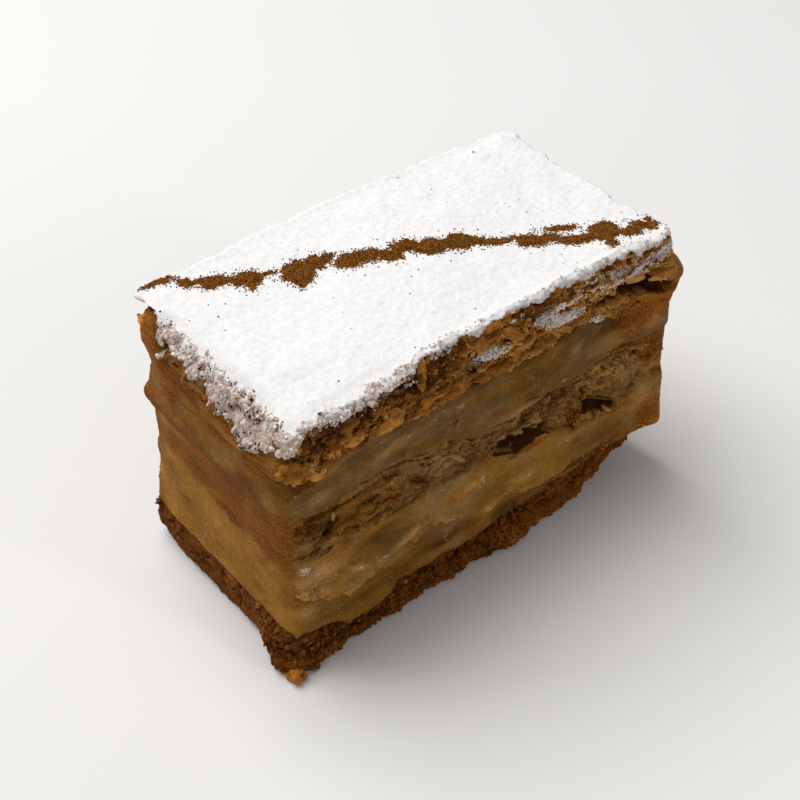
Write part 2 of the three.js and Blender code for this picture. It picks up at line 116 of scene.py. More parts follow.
# Spots on a long side: place along it, height, half length, half height, slope, and millimetres or strength.
# Swells and crinkles are at their own places. The others are where they show, as shown() works it out.
CUSTARD_SWELLS = (
    (-27, 24, 12, 5.4, 0.0, -2.3), (-25, 21.2, 8, 1.8, 0.14, 1.4), (-35, 21.2, 6, 1.8, -0.14, 1.2),
    (-47.5, 25, 4, 6, 0, 0.7), (-30, 13, 12, 1.5, 0.05, 0.5), (15, 17.5, 7, 3.2, 0, 0.9),
    (5, 21, 8, 3, 0, -0.9), (-5, 14.2, 5, 1.5, -0.3, -0.7), (-9, 22, 5, 3.5, 0, 0.6),
    (30, 19, 9, 3, 0.05, 0.6), (45, 24, 5, 4, 0, -0.6), (-38, 11.5, 9, 1.6, -0.15, 0.5),
    (4.5, 12.6, 5, 1.6, 0.1, -0.6), (-12, 27.5, 7, 1.6, 0.1, 0.5), (22, 24, 5, 3, 0, 0.5),
    (-38, 28.5, 7, 1.6, -0.1, 0.5), (34, 24.5, 6, 1.2, -0.1, 0.5),
)
UPPER_SWELLS = (
    (-30, 46, 8, 2.6, 0.3, 0.7), (-40, 46.5, 5, 3.4, 0.5, -0.6), (-8, 46.5, 2.2, 3.4, 0, 0.7),
    (5, 45, 9, 3, 0, -0.6), (20, 45.5, 6, 3, 0.2, 0.5), (38, 46, 9, 2.6, 0, 1.0), (46, 44, 4, 4, 0, 0.6),
    (-19, 44, 6, 1.4, -0.3, -0.5),
)
# The crinkled patch: its relief, with painted highlights on its ridges and painted glints.
CRINKLE = ((-46.5, 21.4, 3.8, 4.8, 0, 2.2),)
# Wet spots: a real gloss there, and pale glints painted into the colour.
WET_GLOSS_AND_PAINTED_GLINTS = (
    (-33.4, 19.8, 1.6, 1.2, -0.6, 1.6), (-27, 18.2, 3.6, 0.6, 0.05, 1.2), (-29, 45, 2.0, 0.9, -0.5, 1.2),
    (-22, 46.8, 6, 1.2, 0.1, 0.8), (-1, 24.6, 1, 0.8, 0, 1.2), (-40, 21.2, 2, 0.6, 0, 1.1),
    (-46, 27, 4, 2, 0, 0.8), (-9.5, 17.8, 1.4, 0.4, 0, 1.4), (22, 44.5, 3, 0.8, 0, 0.9),
    (3, 17.6, 1.5, 0.8, 0, 0.9), (13, 17.5, 2, 0.8, 0, 0.9),
)
STAINS = (
    (11, 25.6, 7.5, 1.6, -0.05, 1.1), (-30, 35, 22, 7, 0, 0.36), (40, 43, 12, 4, 0, 0.5),
    (24.5, 26, 3.5, 6, 0, 0.9), (50, 47, 4, 7, 0, 0.5), (48.5, 15, 6, 6, 0, 0.6), (50, 23, 4, 9, 0, 0.4),
    (-30, 13, 10, 2.5, 0, 0.25), (-8, 13, 12, 3, 0, 0.3), (12, 12, 14, 2.5, 0, 0.3),
    (30, 17, 14, 4, 0, 0.25), (-38, 18.4, 3.5, 1.6, 0, 0.4), (4, 22, 6, 3, 0, 0.2),
    (25, 19, 3.5, 3, 0, 0.6), (37, 22.5, 4.5, 2.4, 0, 0.7), (47, 15, 6, 5, 0, 0.8), (47, 33, 5, 7, 0, 0.5),
    (41, 46.5, 13, 4.5, 0, 0.9), (-47, 39, 4, 6, 0, 0.6), (0, 51.5, 16, 2, 0, 0.5),
    (-30, 51.5, 16, 2.2, 0, 0.45), (-46, 51, 5, 5, 0, 0.7), (-8, 36.5, 2, 1, 0, 0.5),
    (-44, 50.5, 6, 3.5, 0, 0.8), (-33.5, 52.6, 4.5, 2.4, 0, 0.7), (-25, 54, 6, 2.4, 0, 0.6),
    (-14, 53.6, 8, 2, -0.1, 0.6), (40, 49, 13, 3, 0, 0.7), (33, 13.4, 7, 1.4, 0, 0.8),
    (31, 22.8, 7, 1.2, -0.1, 0.7), (43, 17, 10, 7, 0, 0.35), (30, 24, 12, 10, 0, 0.15),
    (42, 38, 11, 10, 0, 0.5), (3, 40, 4, 1.5, 0, 0.35), (-24, 40, 9, 1.4, 0, 0.3),
    (-22, 11.5, 8, 1.2, 0, 0.35), (15, 51.5, 9, 2.5, 0, 0.6),
)
# Spots of painted light and shade: lit ledges, and shade in slots, hollows and under edges, mixed with tone.
PAINTED_LIGHT_AND_TONE_SPOTS = (  # painted light and shade, and tone; darker ones below zero
    (-44, 25, 7, 5, -0.1, 0.35), (-47, 15, 4, 3.5, 0, 0.3), (-21, 20, 6, 1.7, 0.25, 0.9),
    (-34, 19.8, 4, 1.3, -0.5, 0.7), (-35, 53, 18, 3.4, 0, 0.4), (-5, 23.5, 5, 2.8, 0, 0.4),
    (11, 18, 8, 3.2, 0, 0.45), (0, 15, 3, 1.5, 0, 0.25), (46, 22, 6, 8, 0, 0.35),
    (-30, 24.5, 8, 3.5, 0, -0.3), (-12, 12.4, 14, 2.6, 0, -0.35), (5, 10.8, 7, 2.4, 0, -0.6),
    (26, 12.6, 15, 2.2, 0.03, -0.6), (-35, 10.5, 10, 1.8, 0, -0.25), (-20, 30, 26, 1.8, 0, -0.35),
    (-25, 46.5, 8, 2.4, 0.1, 0.4), (-42, 44, 4, 3, 0, 0.35), (4, 44, 11, 3, 0, -0.2),
    (47, 43, 5, 5, 0, 0.6), (24, 46, 3, 2.4, 0, 0.35), (-5, 49.5, 9, 1.6, 0, -0.2),
    (-38, 57.5, 14, 3.2, 0, -0.85), (-14, 59, 12, 3, 0, -0.8), (-25, 61.8, 13, 2, 0, -0.6),
    (-42, 52, 6, 2.5, 0, 0.4), (8.5, 61.4, 6, 1.1, -0.05, -0.8), (2, 63, 4, 2, 0, 0.4),
    (-42, 36, 6, 1.8, 0, -0.6), (-31, 36, 4.5, 1.4, 0, -0.6), (-18, 34, 3.4, 2.4, -0.7, -0.5),
    (10, 37, 12, 2.2, 0, 0.3), (35, 35.5, 9, 3.4, -0.4, 0.25), (33, 59.8, 24, 4.8, -0.05, 1.6),
    (-4, 60.5, 14, 4, 0, 0.5), (-2, 61, 14, 3.4, 0, 0.85), (10, 55, 22, 4, 0, 0.7), (36, 34, 16, 7, 0, 0.5),
    (10, 36.5, 12, 2.6, 0, 0.3), (-30, 38.6, 14, 1.2, 0, -0.3), (42, 48, 12, 4, -0.1, 0.4),
    (38, 43, 12, 4, 0, 0.5), (-30, 35.5, 24, 8, 0, -0.22), (36, 16, 18, 7, 0, -0.3),
    (-44, 19, 5, 1.3, -0.3, 0.4),
)
SUGARED = (  # where fallen sugar lies
    (0.5, 57.0, 6.0, 2.4, -0.1, 1.0), (-3, 57.8, 2.5, 1.2, 0, 0.6), (16.5, 57.6, 6.0, 2.0, -0.4, 0.9),
    (20, 56.0, 7.5, 2.4, -0.1, 1.0), (19, 59.6, 9, 1.3, -0.06, 1.0), (12, 58.8, 3, 1.4, -0.3, 0.8),
    (29.5, 51.2, 3.0, 1.3, -0.3, 1.0), (40, 59.6, 12, 3.0, -0.1, 0.75), (47, 60.0, 6, 3.0, -0.15, 0.7),
    (-12, 64.5, 5, 2, 0, 0.8), (-30, 61.0, 22, 3.6, 0, 0.5), (32, 60.0, 8, 3.4, -0.1, 0.5),
    (28, 61.8, 14, 1.2, -0.03, 0.7), (5, 62.4, 12, 0.9, 0, 0.6),
)


# ---- Small sums ----
def smooth(t):
    """Eased step from 0 to 1: t squared times three less twice t, with t kept between 0 and 1."""
    t = np.clip(t, 0, 1)
    return t * t * (3 - 2 * t)


def mix(a, b, t):
    """Part of the way from a to b."""
    return a + (b - a) * t


def near(x, y, place):
    """How far a place in plan stands out: all of it there, easing to none at its reach."""
    return place[3] * (1 - smooth(np.hypot(x - place[0], y - place[1]) / place[2]))


def spots(marks, across, up):
    """Rounded spots added up.

    Each is its strength times the square of 1 less the squared shares of its half length and half height.
    """
    total = 0.0
    for x, z, long, high, slope, strength in marks:
        away = ((across - x) / long) ** 2 + ((up - z - slope * (across - x)) / high) ** 2
        total = total + strength * np.clip(1 - away, 0, None) ** 2
    return total


# ---- Random fields that are the same at every run ----
def scattered(ix, iy, iz, seed):
    """A value from -1 to 1 for each whole-number point, by multiplying its numbers and mixing the bits."""
    h = np.asarray(ix).astype(np.int64).astype(np.uint32) * np.uint32(0x8DA6B343)
    h = h ^ (np.asarray(iy).astype(np.int64).astype(np.uint32) * np.uint32(0xD8163841))
    h = h ^ (np.asarray(iz).astype(np.int64).astype(np.uint32) * np.uint32(0xCB1AB31F))
    h = h ^ np.uint32((seed * 2654435761) & 0xFFFFFFFF)
    for shift, factor in ((15, 0x2C1B3C6D), (12, 0x297A2D39)):
        h = (h ^ (h >> np.uint32(shift))) * np.uint32(factor)
    h = h ^ (h >> np.uint32(15))
    return h.astype(np.float64) / 2**31 - 1


def field(x, y, z, seed=0):
    """A smooth random field: values scattered on whole-number points, eased between the eight at hand."""
    x, y, z = np.broadcast_arrays(np.asarray(x, float), np.asarray(y, float), np.asarray(z, float))
    cell = [np.floor(a) for a in (x, y, z)]
    ease = [f * f * f * (f * (6 * f - 15) + 10) for f in (x - cell[0], y - cell[1], z - cell[2])]
    total = np.zeros(x.shape)
    for corner in range(8):
        bits = (corner & 1, corner >> 1 & 1, corner >> 2)
        share = 1.0
        for bit, e in zip(bits, ease):
            share = share * (e if bit else 1 - e)
        total += share * scattered(cell[0] + bits[0], cell[1] + bits[1], cell[2] + bits[2], seed)
    return total * 1.5


def uneven(x, y, z, octaves=3, seed=0, fade=0.5):
    """Random fields added up, each turned, twice as quick as the last one and fade times its size."""
    total, size = 0.0, 1.0
    for k in range(octaves):
        total = total + size * field(x, y, z, seed + 13 * k)
        x, y, z = 1.6 * x + 1.2 * y + 3.7, 1.6 * y - 1.2 * x + 1.3, 2.03 * z + 0.4 * x
        size *= fade
    return total


def clumps(x, y, z, seed=0):
    """Rounded grains packed together, one to a unit cube: how round and how deep between two the place is.

    From the distances to the nearest and the second nearest of a scatter of points, roundness is 1 less the
    square of the first, and the crack is how nearly the two are the same.
    """
    x, y, z = np.broadcast_arrays(np.asarray(x, float), np.asarray(y, float), np.asarray(z, float))
    first, second = np.full(x.shape, 9.0), np.full(x.shape, 9.0)
    corner = [np.floor(a) for a in (x, y, z)]
    for step in range(27):
        cx, cy, cz = corner[0] + step % 3 - 1, corner[1] + step // 3 % 3 - 1, corner[2] + step // 9 - 1
        away = (cx + 0.5 + 0.42 * scattered(cx, cy, cz, seed) - x) ** 2
        away += (cy + 0.5 + 0.42 * scattered(cx, cy, cz, seed + 1) - y) ** 2
        away += (cz + 0.5 + 0.42 * scattered(cx, cy, cz, seed + 2) - z) ** 2
        second = np.minimum(second, np.maximum(first, away))
        first = np.minimum(first, away)
    first, second = np.sqrt(first), np.sqrt(second)
    return 1 - first**2, 1 - smooth((second - first) / 0.35)


# ---- The outline and the heights over it ----
def outline(u):
    """Points round a rounded rectangle, u from 0 to 1, and the directions out of it.

    Each side is a straight run and then a quarter turn about the corner's centre, by length, from the left
    end of the front.
    """
    starts = np.concatenate([[0], np.cumsum(STRAIGHTS + ARC)])
    length = np.mod(u, 1) * PERIMETER
    side = np.clip(np.searchsorted(starts, length, side="right") - 1, 0, 3)
    along = length - starts[side]
    turned = np.clip(along - STRAIGHTS[side], 0, None) / CORNER
    heading = side * np.pi / 2
    centre_x = (LENGTH / 2 - CORNER) * np.array([1, 1, -1, -1])[side]
    centre_y = (WIDTH / 2 - CORNER) * np.array([-1, 1, 1, -1])[side]
    back = np.clip(STRAIGHTS[side] - along, 0, None)
    out_x, out_y = np.sin(heading + turned), -np.cos(heading + turned)
    x = centre_x - back * np.cos(heading) + CORNER * out_x
    y = centre_y - back * np.sin(heading) + CORNER * out_y
    return x, y, out_x, out_y


AROUND = int(PERIMETER / STEP)
U = np.arange(AROUND) / AROUND
OX, OY, NX, NY = outline(U)
TORN = smooth((np.abs(NY) - 0.7) / 0.3)  # 1 on the long sides, 0 at the corners and on the two cut ends
ROUGH = mix(0.12, 1, TORN)  # how rough the leaves are: a knife has smoothed the ends
FACE = smooth((np.abs(NY) - 0.2) / 0.4)  # where the spots of a long side show
POWDERED = FACE * (1 - smooth((-OX - 36) / 6) * (OY > 0))  # where fallen sugar may lie: not at the back left
LOOSE = mix(0.05, 1, TORN) * (NX > -0.5)  # where loose flakes lie: few at the right end, none at the left one
RUN = OX * np.where(NY < 0, 1, -1)  # place along a long side, the back turned end for end
FLUSH = 1 - smooth((RUN + 12) / 10)  # the left part, where the middle sheet is flush with the thick custard


def along(values, x):
    """Value at x along a list of even stations, eased between them."""
    values = np.asarray(values, float)
    t = np.clip(x / LENGTH + 0.5, 0, 1) * (len(values) - 1)
    i = np.clip(np.floor(t).astype(int), 0, len(values) - 2)
    return mix(values[i], values[i + 1], smooth(t - i))


def over_slice(values, x, y):
    """The front's run of values, which turns end for end on the way to the back."""
    return mix(along(values, x), along(values, -x), smooth(y / WIDTH + 0.5))


def rolled(x, y):
    """How far the crust has rolled down at the left end, from 0 to 1.

    Its back corner stays up, and its front one rolls a little less.
    """
    corners = (1 - smooth((y - SLUMP["until"]) / 5)) * (1 - 0.3 * smooth((-y - 18) / 6))
    return smooth((SLUMP["from"] - x) / SLUMP["over"]) * corners


def crust_top(x, y):
    """Height of the top crust under the sugar: the meeting, less a roll down at the left end."""
    extra = SLUMP["extra"] * (1 - smooth(np.abs(y - SLUMP["extra_at"]) / 16))
    return over_slice(MEETINGS["crust"], x, y) - (SLUMP["drop"] + extra) * rolled(x, y)


def raised_rim(x, y):
    """How much higher the crust's thin top leaf curls up along the front, past its left part."""
    return 1.2 * smooth((x + 22) / 8) * smooth((-y - 18) / 8)


def meeting(name, seed):
    """Height round the outline where two layers meet: its stations, plus ragged ups and downs."""
    ragged = 0.5 * uneven(OX / 7, OY / 7, seed, 2, seed) + 0.3 * uneven(OX / 1.9, OY / 1.9, seed, 3, seed)
    extra = sum(high * np.clip(1 - ((RUN - at) / half) ** 2, 0, None) ** 2 for at, half, high in EDGES[name])
    drop = FRONT_DROP[name] * smooth((-NY - 0.2) / 0.4)
    return over_slice(MEETINGS[name], OX, OY) + ragged * mix(0.5, 1, TORN) + extra * FACE + drop


BASE_TOP = meeting("base", 3) + near(OX, OY, FOOT_RISE)
LOWER_TOP = meeting("lower custard", 5)
MIDDLE_TOP = meeting("middle", 7)
UPPER_TOP = meeting("upper custard", 9)
CRUST_TOP = crust_top(OX, OY) + raised_rim(OX, OY)
LOWER_LIP = np.interp(RUN, *LIP)


def shown(out, z):
    """Where a place on a long side shows on the outline's own plane, looked at from above and from its left.

    What stands out shows lower and further right than it is.
    """
    return RUN + 0.77 * out, z - 1.09 * out


def lean_in(z):
    """How far out two upright corners stand at a height.

    The back left one leans in and swells. The front right one stands out, and more so at its bubble.
    """
    corner = 1 - smooth(np.hypot(OX - LEAN[0], OY - LEAN[1]) / 12)
    swells = sum(far * np.clip(1 - ((z - at) / half) ** 2, 0, None) ** 2 for at, half, far in CORNER_SWELLS)
    bubble = near(OX, OY, BUBBLE) * np.interp(z, *BUBBLE_RISE)
    right = near(OX, OY, RIGHT_EDGE) * smooth((z - 9) / 3)
    return near(OX, OY, LEAN) * smooth((z - 4) / 20) + corner * swells + right + bubble


def carved(z, hollows=HOLLOWS):
    """How far in hollows are cut at a height: each is a rounded lens that slopes along X, its edge uneven."""
    total = 0.0
    ragged = 0.2 * uneven(OX / 3.2, OY / 3.2, z / 3, 1, 90)
    for x, side, height, long, deep, high, slope in hollows:
        lens = 1 - ((OX - x) / long) ** 2 - ((z - height + slope * (OX - x)) / high) ** 2 + ragged
        total = np.maximum(total, deep * smooth(2.4 * lens) * smooth((NY * side - 0.6) / 0.3))
    return total


# ---- Meshes ----
def put(name, points, faces, material, values, node):
    """A mesh from points in millimetres and a list of face arrays, ridden by the slice's one body.

    values are numbers kept on its points, and node is the CAD node that it replaces, if any.
    """
    mesh = bpy.data.meshes.new(name)
    mesh.vertices.add(len(points))
    mesh.vertices.foreach_set("co", (np.asarray(points) * MM).ravel())
    corners = np.concatenate([f.ravel() for f in faces])
    sizes = np.concatenate([np.full(len(f), f.shape[1]) for f in faces])
    mesh.loops.add(len(corners))
    mesh.loops.foreach_set("vertex_index", corners)
    mesh.polygons.add(len(sizes))
    mesh.polygons.foreach_set("loop_start", np.concatenate([[0], np.cumsum(sizes)[:-1]]))
    mesh.polygons.foreach_set("use_smooth", np.full(len(sizes), True))
    for key, value in values.items():
        layer = mesh.attributes.new(key, "FLOAT", "POINT")
        layer.data.foreach_set("value", np.asarray(value, float).ravel())
    mesh.update(calc_edges=True)
    mesh.validate()
    mesh.materials.append(material)
    piece = bpy.data.objects.new(name, mesh)
    bpy.context.scene.collection.objects.link(piece)
    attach(piece, "root")
    if node:
        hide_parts(node)


def ring_faces(rows, around):
    """Squares between rings stacked upwards, each ring closed on itself."""
    r, i = np.meshgrid(np.arange(rows - 1), np.arange(around), indexing="ij")
    low, low_next = r * around + i, r * around + (i + 1) % around
    return np.stack([low, low_next, low_next + around, low + around], -1).reshape(-1, 4)


def fan(centre, ring, around, upwards):
    """Triangles from one point to a ring."""
    i = np.arange(around)
    a, b = ring + i, ring + (i + 1) % around
    a, b = (a, b) if upwards else (b, a)
    return np.stack([np.full(around, centre), a, b], -1)


def side_mesh(name, side, material):
    """A layer as one closed surface, from its side: out and height, each rows by points round the outline.

    A ring at part size and a point in the middle close each end. It gives back the side's out and height.
    """
    out, height, values = side
    x, y = OX + NX * out, OY + NY * out
    levels = [np.full(AROUND, level) for level in (height[0].mean(), height[-1].mean())]
    inner = [(INNER_RING * OX, INNER_RING * OY, level) for level in levels]
    x, y, z = (np.vstack([inner[0][k], grid, inner[1][k]]) for k, grid in enumerate((x, y, height)))
    ends = np.array([[0, 0, z[0, 0]], [0, 0, z[-1, 0]]])
    points = np.vstack([np.stack([x, y, z], -1).reshape(-1, 3), ends])
    count = x.size
    faces = [
        ring_faces(len(x), AROUND),
        fan(count, 0, AROUND, False),
        fan(count + 1, count - AROUND, AROUND, True),
    ]
    padded = {}
    for key, value in values.items():
        value = np.broadcast_to(value, (len(x) - 2, AROUND))
        padded[key] = np.concatenate([value[0], value.ravel(), value[-1], [0, 0]])
    put(name, points, faces, material, padded, name)
    return out, height


# ---- Pastry: stacked leaves ----
def broken(count, seed):
    """A value from -1 to 1 for each broken piece round the outline. The pieces end at uneven places."""
    piece = np.floor(U * count + 0.4 * uneven(OX / 6, OY / 6, seed, 2, seed))
    return scattered(np.mod(piece, count), 0 * piece, 0 * piece + seed, seed)


def leaves_round(weights, gaps, seed):
    """Each leaf's thickness, rim and curl round the outline, and the gaps above all but the last.

    Thickness sways slowly. A rim is slow swings, a step at each broken piece, quick nicks and torn stretches.
    """
    count = len(weights)
    levels = np.arange(count)[:, None]
    thickness = np.array(weights)[:, None] * (1 + 0.35 * uneven(OX / 9, OY / 9, levels * 5.3, 2, seed))
    open_gap = np.clip(uneven(OX / 9, OY / 9, levels[:-1] * 4.7, 3, seed + 1) + 0.15, 0, None)
    spaces = np.array(gaps)[:, None] * (0.2 + 1.6 * open_gap)
    pieces = [int(34 + 9 * np.sin(2.3 * k + seed)) for k in range(count)]
    steps = np.array([broken(n, seed + 31 * k) for k, n in enumerate(pieces)])
    tilts = np.array([broken(n, seed + 31 * k + 7) for k, n in enumerate(pieces)])
    rim = 0.5 * uneven(OX / 8, OY / 8, levels * 7.7, 2, seed + 2) + 0.55 * steps
    rim += 0.3 * uneven(OX / 1.3, OY / 1.3, levels * 3.1, 3, seed + 3)
    rim -= 1.8 * smooth((uneven(OX / 4, OY / 4, levels * 6.1, 2, seed + 4) - 0.4) * 5)
    curl = 0.35 * tilts + 0.3 * uneven(OX / 5, OY / 5, levels * 4.1, 2, seed + 6)
    return np.clip(thickness, 0.2, None), spaces, rim, curl


def stacked(low, high, thickness, gaps, rim, groove, curl):
    """The side of a stack of leaves, from the floor of the lowest to the top of the highest.

    Each leaf's profile is half of a squared-off ellipse: out along its underside, round its rim and back
    along its top, from one groove to the next. Its rim curls up or down with the square of how far out it is.
    """
    count = len(thickness)
    fit = (high - low) / (thickness.sum(0) + gaps.sum(0))
    angle = np.linspace(-np.pi / 2, np.pi / 2, LEAF_ROWS)[:, None]
    share = np.clip(np.cos(angle), 0, 1) ** 0.5
    rise = 0.5 + 0.5 * np.sin(angle)
    out, height = [], []
    bottom = low
    for k in range(count):
        top = bottom + thickness[k] * fit
        inner = mix(groove[max(k - 1, 0)], groove[min(k, count - 2)], rise)
        out.append(inner + (rim[k] - inner) * share)
        height.append(mix(bottom, top, rise) + curl[k] * share**2)
        bottom = top + (gaps[k] * fit if k < count - 1 else 0)
    height[0][0] = low
    height[-1][-1] = high
    outness = np.tile(share, (count, 1)) * np.ones(AROUND)
    return np.vstack(out), np.vstack(height), outness


def facing_up(out, z):
    """How far the surface faces up, from -1 to 1: each step's way inwards over the step's length."""
    across, rise = np.gradient(out, axis=0), np.gradient(z, axis=0)
    return -across / np.hypot(across, rise + 1e-6)


def colouring(out, z, seed, custard, deep, rim):
    """The numbers that the food's finish reads at each point.

    They are custard, depth for painted shade, leaf rim, brown stain, grey smear with a painted sheen,
    painted light and shade with tone, fallen sugar, and wetness with painted glints.
    """
    x, y = OX + NX * out, OY + NY * out
    across, up = shown(out, z)
    patch = uneven(x / 6, y / 6, z / 3, 4, seed + 40)
    wide = uneven(x / 14, y / 14, z / 8, 3, seed + 44)
    long_side = spots(STAINS, across, up) + 0.25 * patch + 0.04
    upper_band = 0.6 * smooth((z - 40 + 2 * wide) / 4) * (1 - smooth((z - 48) / 6))
    middle = smooth((z - 25 + 3 * wide) / 9) * (1 - upper_band)
    end = 0.75 * middle * (1 - 0.3 * smooth((z - 51) / 4)) + 0.25 * patch + 0.25 * wide + 0.05
    streaks = uneven(x / 9, y / 9, z / 3.6, 4, seed + 41)
    upper = smooth((z - 40) / 3)
    mottled = uneven(x / 5, y / 5, z / 4, 4, seed + 45)
    grey_end = np.clip(0.6 * mottled - 0.4 + 0.35 * upper * (1 - smooth((z - 50) / 3)), 0, 1)
    painted_light_and_tone_spots = spots(PAINTED_LIGHT_AND_TONE_SPOTS, across, up) * FACE
    # The lighter spots also turn the custard greyer, a painted sheen over the grey smear.
    grey_side = streaks * 0.3 + 0.3 + 0.15 * upper + 0.1 * smooth((up - 14) / 3) + np.clip(painted_light_and_tone_spots, 0, 1)
    grey_smear_and_sheen = mix(grey_end, np.clip(grey_side, 0, 1), TORN) * np.clip(0.4 * smooth((z - 10) / 2) + custard, 0, 1)
    # Painted light and shade, with random tone: the spots, and painted shade on the ends' middle band.
    painted_light_and_tone = 0.5 + 0.12 * uneven(x / 8, y / 8, z / 5, 3, seed + 46) + 0.8 * painted_light_and_tone_spots - 0.12 * (1 - TORN) * middle
    caught = facing_up(out, z) + 0.55 + 0.5 * uneven(x / 1.2, y / 1.2, z / 1.2, 3, seed + 42)
    fallen = spots(SUGARED, across, up) * POWDERED * smooth(caught / 0.6)
    # Wetness for the gloss, which also paints pale glints into the colour: random sparkles and the wet spots.
    gloss_and_painted_glints = custard * (0.5 * uneven(x / 2.5, y / 2.5, z / 1.5, 3, seed + 43) - 0.05)
    gloss_and_painted_glints = gloss_and_painted_glints * TORN + (spots(WET_GLOSS_AND_PAINTED_GLINTS, across, up) + 0.12 * spots(CRINKLE, RUN, z)) * FACE
    return {
        "custard": custard,
        "deep": deep,
        "rim": rim,
        "stain": np.clip(mix(end, long_side, TORN), 0, 1),
        "grey_smear_and_sheen": grey_smear_and_sheen,
        "painted_light_and_tone": painted_light_and_tone,
        "dust": np.clip(fallen, 0, 1),
        "wet_gloss_and_painted_glints": np.clip(gloss_and_painted_glints, 0, 1),
    }


def pastry(low, high, weights, gaps, depth, seed, lay, smear, end_smear, crumble, size):
    """One sheet of pastry: torn leaves, crumbled by packed grains, and partly filled and smoothed by custard.

    lay changes the leaves' places, rims, gaps, grooves, curls and thicknesses in place. smear gives how far
    a height on a long side is under custard, and end_smear is that share at the ends. crumble gives how far a
    height is crumbs instead of leaves, in millimetres, and size is the crumbs' length and height.
    """
    thickness, spaces, rim, curl = leaves_round(weights, gaps, seed)
    levels = np.arange(len(weights) - 1)[:, None]
    groove = -depth * (0.6 + 0.5 * uneven(OX / 5, OY / 5, levels * 3.9, 2, seed + 5))
    place = np.zeros((len(weights), AROUND))
    lay(place, rim, spaces, groove, curl, thickness)
    groove = np.minimum(groove, -0.2) * ROUGH
    out, z, outness = stacked(low, high, thickness, spaces, rim * ROUGH, groove, curl * ROUGH)
    place = np.repeat(place, LEAF_ROWS, axis=0)
    custard = smooth((uneven(OX / 7, OY / 7, z / 2.4, 3, seed + 7) * 0.8 + smear(z)) * 1.8)
    custard = mix(end_smear, custard, TORN)
    keep = 1 - 0.7 * custard * (out > -4)
    cut = carved(z)
    plain = 1 - 0.8 * np.clip(cut / 1.5, 0, 1)
    relief = crumble(z) * plain
    out = place + out * keep * (1 - 0.5 * np.clip(relief, 0, 1)) * plain - 0.2 * (1 - keep)
    bend = 0.5 * uneven(OX / 3, OY / 3, z / 2, 2, seed + 10)
    long, high = size
    dome, crack = clumps((OX + NX * out) / long + bend, (OY + NY * out) / long, z / high + bend, seed + 9)
    small, gap = clumps(OX / (0.45 * long) + bend, OY / (0.45 * long), z / (0.54 * high), seed + 11)
    out = out + relief * (0.8 * dome - 0.6 - 0.3 * crack + 0.3 * small)
    out = out + 0.9 * relief * uneven(OX / 5, OY / 5, z / 2.6, 3, seed + 12)
    fine = 0.28 * uneven(OX / 1.7, OY / 1.7, z / 1.1, 2, seed + 13)
    fine = fine + 0.16 * uneven(OX / 0.7, OY / 0.7, z / 0.5, 2, seed + 8)
    out = out + fine * ROUGH * (1 + 0.6 * relief) * plain
    # Painted shade for the colour: darker in recesses, in cracks between crumbs and in the hollows.
    pit = np.clip(-(out - place) / 3.0 - 0.1, 0, 1) + relief * (0.35 * crack * (1 - dome) + 0.15 * gap)
    out = out + lean_in(z) - cut
    shadow = cut / 0.8 * mix(0.5, 1, smooth((RUN + 12) / 8))
    deep = np.clip(pit * keep + np.clip(shadow, 0, 1), 0, 1)
    return out, z, colouring(out, z, seed, custard, deep, outness)


def base_side():
    """The dark bottom sheet: it flares out over the floor at the front left, and lifts at the front right."""
    low = 0.4 + np.clip(0.25 * (1 + uneven(OX / 1.3, OY / 1.3, 0, 3, 11)), -0.4, None) + near(OX, OY, LIFT)

    def lay(place, rim, gaps, groove, curl, thickness):
        """The lower leaves reach out further, the most at the corners, and the rims are low where calm."""
        spread = sum(near(OX, OY, corner) for corner in (FLARE, SET_BACK, *SWELLINGS))
        share = np.array([1, 1, 0.85, 0.6, 0.4])[:, None]
        long_side = np.array([0.7, 0.5, -1.0, -2.0, -1.8])[:, None]
        end = np.array([0.6, 0.8, 0.8, 0.7, 0.6])[:, None]
        place += share * spread + mix(end, long_side, TORN)
        curl *= 0.3
        rim *= np.array([0.35, 0.45, 0.6, 0.6, 0.5])[:, None] * (1 - 0.9 * calm)

    def crumble(z):
        """Crumbs on the long sides and the spread corner, fewer low down and where calm."""
        rough = mix(0.4, 1, TORN) + 0.6 * near(OX, OY, FLARE) / FLARE[3]
        return rough * mix(0.45, 1, smooth(z / 4)) * (1 - 0.75 * calm)

    calm = np.maximum(near(OX, OY, LIFT) / LIFT[3], smooth((OX - 8) / 10) * (NY < 0))
    out, z, values = pastry(
        low, BASE_TOP, weights=(1.0, 0.9, 0.9, 0.9, 0.9), gaps=(0.3,) * 4, depth=1.0, seed=21,
        lay=lay, smear=lambda z: -1.0 + 0 * z, end_smear=0.0, crumble=crumble, size=(1.6, 1.1),
    )
    # Painted light and shade: the base's ends darker and its long sides lighter.
    values["painted_light_and_tone"] = values["painted_light_and_tone"] + mix(-0.15, 0.1, TORN)
    return out, z, values


